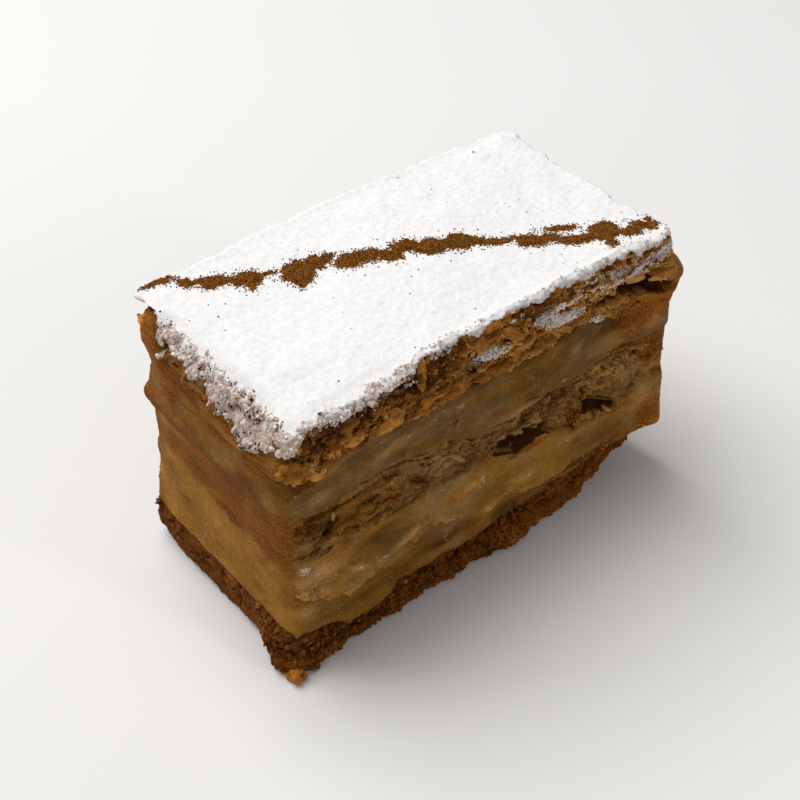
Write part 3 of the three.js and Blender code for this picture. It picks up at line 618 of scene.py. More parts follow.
def middle_side():
    """The middle sheet, soaked: leaves that crumble and stick, drawn in under the upper custard's edge."""
    def lay(place, rim, gaps, groove, curl, thickness):
        """The upper leaves are drawn in, less so at the left, and some stand out as ledges at the right."""
        inset = np.array([-0.2, -0.5, -0.8, -0.9, -1.5, -2.1])[:, None]
        inset = inset + np.array([0.9, 0.6, 0.3, 0, 0, 0])[:, None] * FLUSH
        place += mix(END["high"] - 0.1, inset, TORN)
        curl *= 0.8
        groove *= 1 - 0.45 * FLUSH
        gaps *= 1 - 0.4 * FLUSH
        ledge = smooth((RUN + 4) / 5) * smooth((46 - RUN) / 5) * TORN
        gaps[1] += 0.5 * ledge
        gaps[3] += 0.7 * ledge
        groove[1] -= 0.8 * ledge
        groove[3] -= 1.2 * ledge
        rim[2] += 0.4 * ledge
        rim[4] += 0.6 * ledge

    def smear(z):
        """More custard low down and at the left, less at the right."""
        return 0.1 + 0.5 * smooth((32 - z) / 3) + 0.6 * smooth((-RUN - 1) / 8) - 0.6 * smooth((RUN - 1) / 8)

    def crumble(z):
        """Crumbs on the long sides, most of them at the right."""
        return (0.35 + 0.65 * smooth((RUN + 8) / 10)) * TORN + 0 * z

    return pastry(
        LOWER_TOP, MIDDLE_TOP, weights=(1.2, 0.9, 1.0, 0.8, 0.9, 1.0), gaps=(0.3, 0.5, 0.5, 0.5, 0.4),
        depth=1.4, seed=31, lay=lay, smear=smear, end_smear=0.8, crumble=crumble, size=(3.4, 1.3),
    )


def crust_side():
    """The top sheet: crumbs under sugar at the left, and at the right crisp leaves over a deep gap."""
    right = smooth((RUN + 8) / 14)

    def lay(place, rim, gaps, groove, curl, thickness):
        """Low rims on the puffed corner, and at the right thick lower leaves with a slot over them."""
        calm = 1 - 0.8 * near(OX, OY, BUBBLE) / BUBBLE[3]
        rim *= calm
        curl *= calm
        place += np.array([0.2, 0.3, 0.3, 0.1, 0.1, -0.2, -0.5, -0.4])[:, None]
        thickness[0] *= 1 + 0.8 * right
        rim[0] = mix(rim[0], 0.3, 0.7 * right)
        slot = np.clip(1 - ((RUN - 10) / 5.5) ** 2, 0, 1) * TORN
        gaps[5] += 1.2 * slot
        groove[5] -= 2.5 * slot
        groove[2] -= 1.0 * right * TORN
        ledge = smooth((RUN - 6) / 8) * TORN
        place[3] += 0.5 * ledge
        place[4] += 0.7 * ledge
        curl[7] += 0.5 * smooth((RUN + 22) / 8) * TORN

    def crumble(z):
        """Crumbs high up at the left, and wherever sugar has caught."""
        left = 0.95 * (1 - 0.85 * right) * smooth((z - 50) / 3)
        return (left + 0.35 * np.clip(spots(SUGARED, RUN, z), 0, 1)) * TORN

    def smear(z):
        """Custard only at the crust's foot."""
        return -0.2 + 0.6 * smooth((53 - z) / 3)

    return pastry(
        UPPER_TOP, CRUST_TOP, weights=(1.5, 1.0, 0.9, 0.9, 0.8, 0.7, 0.7, 0.7),
        gaps=(0.4, 0.4, 0.4, 0.5, 0.4, 0.4, 0.3), depth=2.2, seed=41,
        lay=lay, smear=smear, end_smear=0.6, crumble=crumble, size=(2.8, 1.9),
    )


# ---- Custard ----
def custard_side(low, high, rows, lip, step, bulge, foot, seed, swells, painted_depth_shade, painted_band_shade):
    """A band of set custard, which swells over its lip on the long sides and is drawn in by step under it.

    Its cut ends only widen towards their foot. Slow waves, drawn-out streaks, wiped ridges and swells at
    given spots are added. Two amounts darken it with painted shade: as in pits, and over the whole band.
    """
    share = np.linspace(0, 1, rows)[:, None]
    z = mix(low, high, share)
    over = z - lip + 0.6 * uneven(OX / 3, OY / 3, 0, 4, seed + 9)
    lipped = smooth(over / 1.0 + 0.5)
    lips = TORN * (step > 0)
    torn = mix(bulge - step, bulge - 0.065 * np.clip(over, 0, None), lipped)
    torn = torn + 0.3 * np.exp(-(((over - 0.6) / 0.6) ** 2)) * (step > 0)
    torn = torn + 0.35 * uneven(OX / 15, OY / 15, z / 6, 2, seed) + spots(swells, RUN, z)
    torn = torn + 0.15 * uneven((RUN + 0.4 * z) / 9, OY / 30, (z - 0.3 * RUN) / 2.2, 3, seed + 1)
    ridge = 1 - np.abs(uneven(OX / 5, OY / 5, (z - 0.25 * RUN) / 3.4, 3, seed + 2))
    torn = torn + 0.22 * ridge**3 + 0.12 * uneven(OX / 1.3, OY / 1.3, z / 1.1, 3, seed + 3)
    crinkle = 0.5 - np.abs(uneven((RUN + 0.3 * z) / 1.5, OY / 2, (z - 0.3 * RUN) / 0.7, 2, seed + 5))
    cut = mix(foot, END["high"], share) + 0.1 * uneven(OX / 4, OY / 4, z / 4, 3, seed + 6)
    cut = cut + 0.06 * uneven(OX / 0.8, OY / 0.8, z / 0.8, 2, seed + 4)
    out = mix(cut, torn, TORN) + 0.22 * spots(CRINKLE, RUN, z) * FACE * crinkle
    upper_edge = 0.5 * mix(1, 0.2, FLUSH * TORN * (step > 0))
    rounded = 0.6 * np.clip(1 - share * rows / 7, 0, 1) ** 2
    rounded = rounded + upper_edge * np.clip(1 - (1 - share) * rows / 6, 0, 1) ** 2
    out = out - rounded * mix(0.5, 1, TORN)
    hole = carved(z, HOLLOWS[1:])
    out = out + lean_in(z) - hole
    hole[-1] = np.maximum(hole[-1], carved(z[-1:] + 1.3)[0])  # painted shade where a hollow lies just above
    sag = 0.8 * np.clip(1 - np.abs(over) / 1.8, 0, 1) * lips
    # Painted shade: darker in hollows, just under the lip, and by the band's given amount.
    deep = np.clip(hole / 0.9 + 0.2 * lips * (1 - lipped) + painted_depth_shade, 0, 1)
    values = colouring(out, z, seed, np.ones_like(out), deep, np.zeros_like(out))
    # Painted light at the lip: a highlight along its edge and painted shade below it; painted highlights on
    # the crinkle's ridges.
    edge = np.exp(-(((over - 0.7) / 0.6) ** 2)) * smooth(0.4 + uneven(OX / 4, OY / 4, 0, 3, seed + 7))
    painted_crinkle_highlight = 0.5 * spots(CRINKLE, RUN, z) * FACE * (smooth(5 * crinkle - 1) - 0.2)
    at_lip = lips * (0.22 * edge - 0.1 * (1 - lipped))
    values["painted_light_and_tone"] = values["painted_light_and_tone"] + at_lip - painted_band_shade * mix(0.5, 1, TORN) + painted_crinkle_highlight
    return out, z - sag, values


# ---- Crumbs, grains and flakes ----
def ball(around, levels):
    """A round shape: rings of points at even steps of angle, and a point at each pole."""
    rise = np.linspace(-np.pi / 2, np.pi / 2, levels + 2)[1:-1, None]
    turn = np.linspace(0, 2 * np.pi, around, endpoint=False) + 0.5 * rise
    rings = np.stack([np.cos(rise) * np.cos(turn), np.cos(rise) * np.sin(turn), np.sin(rise) + 0 * turn], -1)
    points = np.vstack([rings.reshape(-1, 3), [[0, 0, -1], [0, 0, 1]]])
    last = around * levels
    squares = ring_faces(levels, around)
    poles = [fan(last, 0, around, False), fan(last + 1, last - around, around, True)]
    return points, np.vstack([squares[:, [0, 1, 2]], squares[:, [0, 2, 3]], *poles])


def on_side(wall, weight, count, seed):
    """Places drawn over a layer's side in proportion to a weight, and the directions out of it there."""
    out, z = wall
    random = np.random.default_rng(seed)
    area = np.hypot(np.gradient(z, axis=0), np.gradient(out, axis=0))
    share = (np.clip(weight, 0, None) * area).ravel()
    picked = random.choice(out.size, count, p=share / share.sum())
    i = picked % AROUND
    far, up = out.ravel()[picked], z.ravel()[picked]
    slide = random.uniform(-0.5, 0.5, count) * STEP
    places = np.stack([OX[i] + NX[i] * far - NY[i] * slide, OY[i] + NY[i] * far + NX[i] * slide, up], -1)
    return places, np.stack([NX[i], NY[i], 0 * far], -1)


def at_side(wall, x, z, side):
    """The nearest place on a layer's long side to each X and height: how far out it stands."""
    out, heights = wall
    columns = np.where(NY * side > 0.9)[0]
    i = columns[np.abs(OX[columns][None] - x[:, None]).argmin(1)]
    rows = np.abs(heights[:, i] - z).argmin(0)
    return OY[i] + NY[i] * out[rows, i]


def turns(random, count):
    """Random turns in space, each from a random quaternion."""
    q = random.normal(size=(count, 4))
    w, x, y, z = (q / np.linalg.norm(q, axis=1, keepdims=True)).T
    rows = [
        [1 - 2 * (y * y + z * z), 2 * (x * y - w * z), 2 * (x * z + w * y)],
        [2 * (x * y + w * z), 1 - 2 * (x * x + z * z), 2 * (y * z - w * x)],
        [2 * (x * z - w * y), 2 * (y * z + w * x), 1 - 2 * (x * x + y * y)],
    ]
    return np.array(rows).transpose(2, 0, 1)


def many(shape, faces, count):
    """The faces of a shape that is repeated, its copies' points one after another."""
    return (faces[None] + len(shape) * np.arange(count)[:, None, None]).reshape(-1, 3)


def grains(name, centres, radii, material, seed, tone=None, around=6, levels=3):
    """Many small lumps in one mesh: balls of three radii, dented by a random field and turned at random."""
    random = np.random.default_rng(seed)
    shape, faces = ball(around, levels)
    count = len(centres)
    each = 9.1 * np.arange(count)[:, None]
    dents = 1 + 0.3 * field(shape[:, 0] * 1.4 + each, shape[:, 1] * 1.4, shape[:, 2] * 1.4, seed)
    local = shape[None] * dents[..., None] * radii[:, None, :]
    points = np.einsum("nij,nkj->nki", turns(random, count), local) + centres[:, None, :]
    points[..., 2] = np.clip(points[..., 2], OFF_FLOOR, None)
    tone = random.random(count) if tone is None else tone
    values = {"tone": np.repeat(tone, len(shape))}
    put(name, points.reshape(-1, 3), [many(shape, faces, count)], material, values, None)


def plates(name, centres, lengthways, outwards, sizes, bends, material, seed, tone, around=10, rings=3):
    """Thin torn flakes in one mesh. Each is rings of a ragged disc, bent along and across, with a thin rim.

    sizes are half length, half width and thickness. bends are the heights gained at an end and at a side.
    """
    random = np.random.default_rng(seed)
    count = len(centres)
    half = np.linspace(0, 1, rings + 1)[1:] ** 0.8
    rings = np.concatenate([half, half[-2::-1]])
    side = np.sign(np.arange(len(rings))[::-1] - len(half) + 1)
    angle = np.linspace(0, 2 * np.pi, around, endpoint=False)
    ragged = 1 + 0.45 * field(1.6 * np.cos(angle), 1.6 * np.sin(angle), 3.3 * np.arange(count)[:, None], seed)
    ragged += 0.22 * random.uniform(-1, 1, (count, around))
    a = rings[:, None] * (np.cos(angle) * ragged)[:, None, :]
    b = rings[:, None] * (np.sin(angle) * ragged)[:, None, :]
    thick = sizes[:, 2, None, None] * (0.5 * side * (1 - 0.5 * rings))[:, None]
    ripple = 0.42 * uneven(a * 1.9, b * 1.9, 5.1 * np.arange(count)[:, None, None], 3, seed + 3)
    long, wide = sizes[:, 0, None, None], sizes[:, 1, None, None]
    c = bends[:, 0, None, None] * a**2 + bends[:, 1, None, None] * b**2 + ripple * wide + thick
    a, b = a * long, b * wide
    outwards = outwards / np.linalg.norm(outwards, axis=1, keepdims=True)
    lengthways = lengthways - (lengthways * outwards).sum(1, keepdims=True) * outwards
    lengthways = lengthways / np.linalg.norm(lengthways, axis=1, keepdims=True)
    across = np.cross(outwards, lengthways)
    body = centres[:, None, None, :]
    for distance, axis in zip((a, b, c), (lengthways, across, outwards)):
        body = body + distance[..., None] * axis[:, None, None, :]
    tips = 0.5 * sizes[:, 2, None, None] * np.array([1, -1])[:, None] * outwards[:, None, :]
    points = np.concatenate([body.reshape(count, -1, 3), centres[:, None, :] + tips], 1)
    points[..., 2] = np.clip(points[..., 2], OFF_FLOOR, None)
    squares = ring_faces(len(rings), around)
    last = len(rings) * around
    closed = np.vstack([fan(last, 0, around, True), fan(last + 1, last - around, around, False)])
    first = points.shape[1] * np.arange(count)[:, None, None]
    edge = np.concatenate([np.tile(rings[:, None], (1, around)).ravel(), [0, 0]])
    values = {"tone": np.repeat(tone, points.shape[1]), "edge": np.tile(edge, count)}
    faces = [(squares[:, ::-1][None] + first).reshape(-1, 4), (closed[None] + first).reshape(-1, 3)]
    put(name, points.reshape(-1, 3), faces, material, values, None)


# ---- Materials ----
def add(tree, kind, inputs, **settings):
    """A node with its settings, and its inputs either linked or set."""
    made = tree.nodes.new(kind)
    for key, value in settings.items():
        setattr(made, key, value)
    for socket, value in inputs.items():
        if isinstance(value, bpy.types.NodeSocket):
            tree.links.new(value, made.inputs[socket])
        else:
            made.inputs[socket].default_value = value
    return made


def blend(tree, share, a, b, how="MIX"):
    """One colour laid over another."""
    a, b = (c if isinstance(c, bpy.types.NodeSocket) else (*c, 1) for c in (a, b))
    inputs = {0: share, 6: a, 7: b}
    return add(tree, "ShaderNodeMix", inputs, data_type="RGBA", blend_type=how).outputs[2]


def sums(tree, how, a, b, c=0.0):
    """A sum of two or three numbers."""
    return add(tree, "ShaderNodeMath", {0: a, 1: b, 2: c}, operation=how).outputs[0]


def between(tree, value, low, high, out_low=0.0, out_high=1.0, eased=True):
    """A value's place between two limits, as a share from 0 to 1."""
    kind = "SMOOTHSTEP" if eased else "LINEAR"
    inputs = {0: value, 1: low, 2: high, 3: out_low, 4: out_high}
    return add(tree, "ShaderNodeMapRange", inputs, interpolation_type=kind).outputs[0]


def grain(tree, size, detail=3.0, roughness=0.55, warp=0.0):
    """An uneven pattern through the solid, with lumps of a size in millimetres, about half on average."""
    place = add(tree, "ShaderNodeTexCoord", {}).outputs["Object"]
    inputs = {"Vector": place, "Scale": 1 / (size * MM), "Detail": detail, "Roughness": roughness}
    return add(tree, "ShaderNodeTexNoise", inputs | {"Distortion": warp}).outputs[0]


def wobble(tree, pattern, strength, value):
    """A value pushed up and down by a pattern."""
    return sums(tree, "MULTIPLY_ADD", sums(tree, "SUBTRACT", pattern, 0.5), strength, value)


def kept(tree, name):
    """A number kept on the mesh's points."""
    return add(tree, "ShaderNodeAttribute", {}, attribute_name=name, attribute_type="GEOMETRY").outputs["Fac"]


def ramp(tree, value, stops):
    """A run of colours along a value."""
    made = add(tree, "ShaderNodeValToRGB", {0: value})
    points = made.color_ramp.elements
    while len(points) < len(stops):
        points.new(0.5)
    for point, (at, colour) in zip(points, stops):
        point.position = at
        point.color = (*colour, 1)
    return made.outputs[0]


def new_material(name):
    """An empty material with its shader."""
    material = bpy.data.materials.new(name)
    material.use_nodes = True
    return material, material.node_tree, material.node_tree.nodes["Principled BSDF"]


def bumped(tree, shader, layers):
    """Bumps, each a pattern and its height in millimetres, added one over another."""
    normal = None
    for pattern, height in layers:
        inputs = {"Height": pattern, "Distance": height * MM, "Strength": 1.0}
        if normal is not None:
            inputs["Normal"] = normal
        normal = add(tree, "ShaderNodeBump", inputs).outputs[0]
    tree.links.new(normal, shader.inputs["Normal"])


CUSTARD = (
    (0.30, (0.275, 0.112, 0.014)), (0.45, (0.31, 0.134, 0.018)),
    (0.56, (0.345, 0.160, 0.025)), (0.72, (0.41, 0.214, 0.045)),
)
STAIN, DARK_STAIN = (0.33, 0.098, 0.007), (0.16, 0.046, 0.005)
# A grey smear on the custard, also used as a pale painted sheen.
GREY_SMEAR_AND_SHEEN = (0.345, 0.206, 0.075)
# The colour of painted glints.
PAINTED_GLINT = (0.56, 0.49, 0.43)
# Colours of painted shade in pits and hollows.
PAINTED_PIT_SHADE, BASE_PAINTED_PIT_SHADE = (0.050, 0.0145, 0.0022), (0.012, 0.004, 0.001)
DUST_SHADE, DUST = (0.52, 0.41, 0.35), (0.90, 0.83, 0.80)
SUGAR_GREY, SUGAR_WHITE = (0.80, 0.805, 0.82), (0.90, 0.90, 0.90)
# Thin sugar over the crust, darkened as painted shade.
SUGAR_SHADE = (0.49, 0.37, 0.305)
UNDER_SUGAR = (0.10, 0.038, 0.010), (0.30, 0.13, 0.035)
SUGAR_DOT = (0.36, 0.21, 0.11)
SPICE = (0.095, 0.029, 0.003), (0.265, 0.098, 0.012)


def food_finish(name, baked, depth_shade_colour, edge):
    """Pastry or custard: a browned mottle, lighter at thin rims, stained, smeared, dusted, painted shade in
    pits.

    baked is the pastry's run of colours, the next argument the colour of painted shade in its depths and edge
    that of its thin rims. Painted light and shade, a painted sheen with the grey smear and painted glints
    where wet are laid on too.
    """
    material, tree, shader = new_material(name)
    broad = grain(tree, 5, 4, 0.6, warp=0.4)
    fine = grain(tree, 0.8, 4, 0.65)
    speck = grain(tree, 0.35, 2, 0.6)
    mottle = sums(tree, "MULTIPLY_ADD", fine, 0.5, sums(tree, "MULTIPLY", broad, 0.5))
    pastry_colour = ramp(tree, mottle, baked)
    thin_rim = between(tree, wobble(tree, fine, 0.4, kept(tree, "rim")), 0.8, 1.05, 0, 0.6)
    pastry_colour = blend(tree, thin_rim, pastry_colour, edge)
    clouded = sums(tree, "MULTIPLY_ADD", fine, 0.4, sums(tree, "MULTIPLY", broad, 0.6))
    custard_colour = ramp(tree, clouded, CUSTARD)
    share = between(tree, wobble(tree, fine, 0.5, kept(tree, "custard")), 0.35, 0.65)
    colour = blend(tree, share, pastry_colour, custard_colour)
    # Grey smear, and a pale painted sheen where the custard is painted lighter.
    smear = between(tree, wobble(tree, fine, 0.6, kept(tree, "grey_smear_and_sheen")), 0.05, 0.8, 0, 0.7)
    colour = blend(tree, smear, colour, GREY_SMEAR_AND_SHEEN)
    stain = between(tree, wobble(tree, fine, 0.8, kept(tree, "stain")), 0.15, 0.8, 0, 0.9)
    brown = blend(tree, between(tree, speck, 0.35, 0.65), DARK_STAIN, STAIN)
    colour = blend(tree, stain, colour, brown)
    colour = blend(tree, 1.0, colour, between(tree, speck, 0.3, 0.7, 0.78, 1.2), "MULTIPLY")
    # Painted light and shade, with random tone, scale the colour.
    painted_light_and_tone = between(tree, kept(tree, "painted_light_and_tone"), 0.0, 1.0, 0.35, 1.65, eased=False)
    colour = blend(tree, 1.0, colour, painted_light_and_tone, "MULTIPLY")
    # Painted shade: the colour darkens towards the depth colour in pits and hollows.
    deep = between(tree, wobble(tree, fine, 0.25, kept(tree, "deep")), 0.12, 0.85, 0, 0.93)
    colour = blend(tree, deep, colour, depth_shade_colour)
    dust = wobble(tree, speck, 1.5, wobble(tree, fine, 0.9, kept(tree, "dust")))
    dust = between(tree, dust, 0.42, 0.6)
    colour = blend(tree, dust, colour, blend(tree, between(tree, fine, 0.3, 0.7), DUST_SHADE, DUST))
    # Painted glints: pale specks laid into the colour where wet.
    painted_glint_share = wobble(tree, speck, 1.8, sums(tree, "MULTIPLY", kept(tree, "wet_gloss_and_painted_glints"), kept(tree, "custard")))
    colour = blend(tree, between(tree, painted_glint_share, 0.8, 1.15, 0, 0.85), colour, PAINTED_GLINT)
    tree.links.new(colour, shader.inputs["Base Color"])
    gloss = wobble(tree, speck, 1.2, kept(tree, "wet_gloss_and_painted_glints"))
    gloss = between(tree, sums(tree, "MULTIPLY", gloss, sums(tree, "SUBTRACT", 1.0, dust)), 0.5, 1.0)
    tree.links.new(gloss, shader.inputs["Coat Weight"])
    shader.inputs["Coat Roughness"].default_value = 0.14
    shader.inputs["Roughness"].default_value = 0.7
    shader.inputs["Specular IOR Level"].default_value = 0.06
    shader.inputs["Subsurface Weight"].default_value = 0.08
    shader.inputs["Subsurface Radius"].default_value = (1.0, 0.4, 0.08)
    shader.inputs["Subsurface Scale"].default_value = 0.001
    bumped(tree, shader, [(grain(tree, 0.45, 3, 0.6), 0.12), (grain(tree, 1.6, 3, 0.6), 0.3)])
    return material


def crumb_finish(name, stops, rim=None):
    """Crumbs and flakes: a tone for each one, mottled, and lighter towards the edge of a flake."""
    material, tree, shader = new_material(name)
    fine = grain(tree, 0.5, 3, 0.6)
    patchy = wobble(tree, grain(tree, 1.8, 3, 0.6), 0.9, kept(tree, "tone"))
    colour = ramp(tree, wobble(tree, fine, 0.6, patchy), stops)
    if rim:
        colour = blend(tree, between(tree, kept(tree, "edge"), 0.5, 1.0, 0, 0.75), colour, rim)
    tree.links.new(colour, shader.inputs["Base Color"])
    shader.inputs["Roughness"].default_value = 0.75
    shader.inputs["Specular IOR Level"].default_value = 0.12
    bumped(tree, shader, [(fine, 0.12), (grain(tree, 1.2, 3, 0.6), 0.25)])
    return material


def sugar_finish():
    """Powder: white with a faint grey mottle, painted shade where thin, pitted and speckled at its rim, and
    cinnamon along the line.
    """
    material, tree, shader = new_material("icing_sugar_powder")
    mottle = between(tree, grain(tree, 1.2, 5, 0.75), 0.35, 0.65)
    white = blend(tree, mottle, SUGAR_GREY, SUGAR_WHITE)
    thin, pit = kept(tree, "thin"), kept(tree, "pit")
    speck = grain(tree, 0.4, 3, 0.65)
    # Thin sugar and painted shade give the darker colour towards the rim.
    thin = between(tree, wobble(tree, speck, 0.7, thin), 0.15, 0.95, 0, 0.9)
    colour = blend(tree, thin, white, SUGAR_SHADE)
    # Where pitted the crust shows, with painted shade between clumps.
    under = blend(tree, between(tree, grain(tree, 1.5, 4, 0.6), 0.38, 0.62), *UNDER_SUGAR)
    colour = blend(tree, between(tree, wobble(tree, speck, 1.0, pit), 0.36, 0.6), colour, under)
    dots = sums(tree, "GREATER_THAN", grain(tree, 0.6, 1, 0.3), 0.84)
    colour = blend(tree, sums(tree, "MULTIPLY", dots, 0.6), colour, SUGAR_DOT)
    spice = blend(tree, between(tree, grain(tree, 0.35, 2, 0.6), 0.35, 0.65), *SPICE)
    edge = wobble(tree, grain(tree, 0.4, 3, 0.7), 1.7, kept(tree, "cinnamon"))
    colour = blend(tree, between(tree, edge, -0.06, 0.04), colour, spice)
    tree.links.new(colour, shader.inputs["Base Color"])
    shader.inputs["Roughness"].default_value = 0.95
    shader.inputs["Specular IOR Level"].default_value = 0.1
    bumped(tree, shader, [(grain(tree, 0.3, 3, 0.7), 0.09), (grain(tree, 1.1, 3, 0.6), 0.12)])
    return material


# ---- Icing sugar ----
# Pinches of cinnamon along the line: x, y, half length along the line and half width.
PINCHES = (
    (-45.0, 27.0, 1.4, 0.9), (-42.8, 27.2, 1.7, 1.4), (-40.8, 26.0, 1.6, 1.4), (-39.2, 25.2, 1.0, 0.9),
    (-37.8, 22.8, 1.5, 1.7), (-35.4, 21.3, 1.8, 1.3), (-33.6, 19.7, 3.0, 2.2), (-30.6, 18.0, 2.0, 1.2),
    (-27.3, 16.2, 3.0, 2.5), (-28.4, 13.2, 1.1, 1.0), (-24.2, 15.2, 1.2, 0.8), (-22.4, 14.6, 1.0, 0.5),
    (-18.2, 11.2, 3.2, 3.9), (-20.2, 7.3, 0.9, 1.1), (-14.6, 11.2, 3.0, 2.4), (-11.6, 10.9, 1.4, 1.4),
    (-8.6, 6.9, 3.0, 2.6), (-5.6, 5.4, 2.8, 2.1), (-1.8, 2.2, 2.4, 1.9), (2.6, 2.8, 2.6, 2.0),
    (6.2, -0.6, 3.0, 2.7), (9.6, -0.6, 1.0, 0.6), (12.6, -3.0, 3.2, 2.6), (15.6, -4.6, 1.8, 1.4),
    (17.8, -6.6, 1.7, 1.3), (20.4, -8.0, 1.6, 1.0), (24.6, -11.4, 3.4, 2.2), (28.6, -13.0, 2.4, 1.8),
    (32.4, -11.6, 2.8, 0.9), (31.0, -16.2, 3.0, 1.7), (34.4, -17.6, 2.0, 1.5), (38.5, -18.2, 3.2, 3.5),
    (36.2, -22.4, 1.2, 1.2), (42.4, -21.6, 2.2, 1.6), (46.0, -20.8, 1.6, 1.2), (48.0, -21.8, 1.8, 1.5),
    (49.2, -20.0, 0.8, 1.0), (22.4, -8.3, 2.4, 0.6), (-3.4, 4.2, 3.4, 1.0), (-24.6, 15.4, 3.0, 0.5),
)
LINE_ANGLE = np.arctan2(-46.0, 92.0)  # the line falls 46 mm over 92


def cinnamon_at(x, y):
    """How far inside the cinnamon a place is: the most of each pinch's stretched roundness, made ragged."""
    most = np.full(np.shape(x), -9.0)
    c, s = np.cos(LINE_ANGLE), np.sin(LINE_ANGLE)
    for px, py, half, wide in PINCHES:
        a, b = (x - px) * c + (y - py) * s, (y - py) * c - (x - px) * s
        away = np.sqrt((a / (half * 1.1)) ** 2 + (b / wide) ** 2)
        most = np.maximum(most, (1 - away) * min(half, wide))
    return most + 0.3 * uneven(x / 1.2, y / 1.2, 0, 3, 201)


def rounded_grid():
    """Points over the outline from a square grid, and the directions out of the nearest part of its rim.

    In each corner a point's distance from the corner's centre becomes the larger of its two sides.
    """
    across, lengthways = int(WIDTH / STEP), int(LENGTH / STEP)
    a, b = np.meshgrid(np.linspace(-1, 1, lengthways), np.linspace(-1, 1, across), indexing="xy")
    x, y = a * LENGTH / 2, b * WIDTH / 2
    cx, cy = np.abs(x) - (LENGTH / 2 - CORNER), np.abs(y) - (WIDTH / 2 - CORNER)
    corner = (cx > 0) & (cy > 0)
    length = np.where(corner, np.hypot(cx, cy), 1)
    larger = np.maximum(cx, cy)
    x = np.where(corner, np.sign(x) * (LENGTH / 2 - CORNER + cx / length * larger), x)
    y = np.where(corner, np.sign(y) * (WIDTH / 2 - CORNER + cy / length * larger), y)
    flat = ~corner & (cx > cy)
    out_x = np.where(corner, np.sign(x) * cx / length, np.where(flat, np.sign(x), 0))
    out_y = np.where(corner, np.sign(y) * cy / length, np.where(flat, 0, np.sign(y)))
    inward = np.where(corner, CORNER - larger, np.minimum(LENGTH / 2 - np.abs(x), WIDTH / 2 - np.abs(y)))
    return x, y, out_x, out_y, np.clip(inward, 0, None)


SUGAR_LINE = (  # where the solid white field ends at the left: Y and how far in it is, and its rim's height
    (-30, -25, -20, -15, -10, -5, 0, 5, 10, 15, 20, 30),
    (60, 59.5, 56, 54.4, 56, 55.4, 58.6, 58.4, 58.8, 59.5, 62, 62.5),
)
SUGAR_HANG = (  # how far the sugar hangs at the front edge: X and millimetres
    (-50, -45, -40, -35, -30, -25, -20, -16, -12, -5, 0, 10, 20, 30, 40, 50),
    (0.5, 0.6, 0.8, 1.3, 1.8, 1.5, 1.1, 0.8, 0.8, 0.9, 1.0, 1.2, 1.4, 1.6, 1.2, 1.2),
)
LEFT_HANG = (  # how far it hangs at the left end: Y and millimetres
    (-26, -23, -20, -15, -10, -5, 0, 5, 10, 15, 26),
    (0.4, 0.6, 1.6, 2.8, 1.6, 2.2, 0.3, 0.5, 0.2, 0.3, 0.4),
)
SUGAR_RETREAT = (  # how far the sugar's front edge is drawn in: X and millimetres
    (-50, -40, -30, -20, -16, -8, -4, 5, 15, 25, 40, 50),
    (-0.5, 0.2, 0.0, 0.3, 0.6, 0.5, 0.3, 0.4, 0.7, 0.3, 0.2, 0.0),
)
HANG_ROWS = 16  # rows of points down the hanging rim
TUCK, UNDER = 0.9, 0.3  # where the hidden floor starts, as a share outwards, and its depth in the crust


def moved_along(points, far):
    """A grid of points moved along its normals, which are the cross products of its steps both ways."""
    normal = np.cross(np.gradient(points, axis=1), np.gradient(points, axis=0))
    normal = normal / np.maximum(np.linalg.norm(normal, axis=2, keepdims=True), 1e-9)
    normal *= np.sign(normal[..., 2:3] + 1e-9)
    return points + far[..., None] * normal, normal


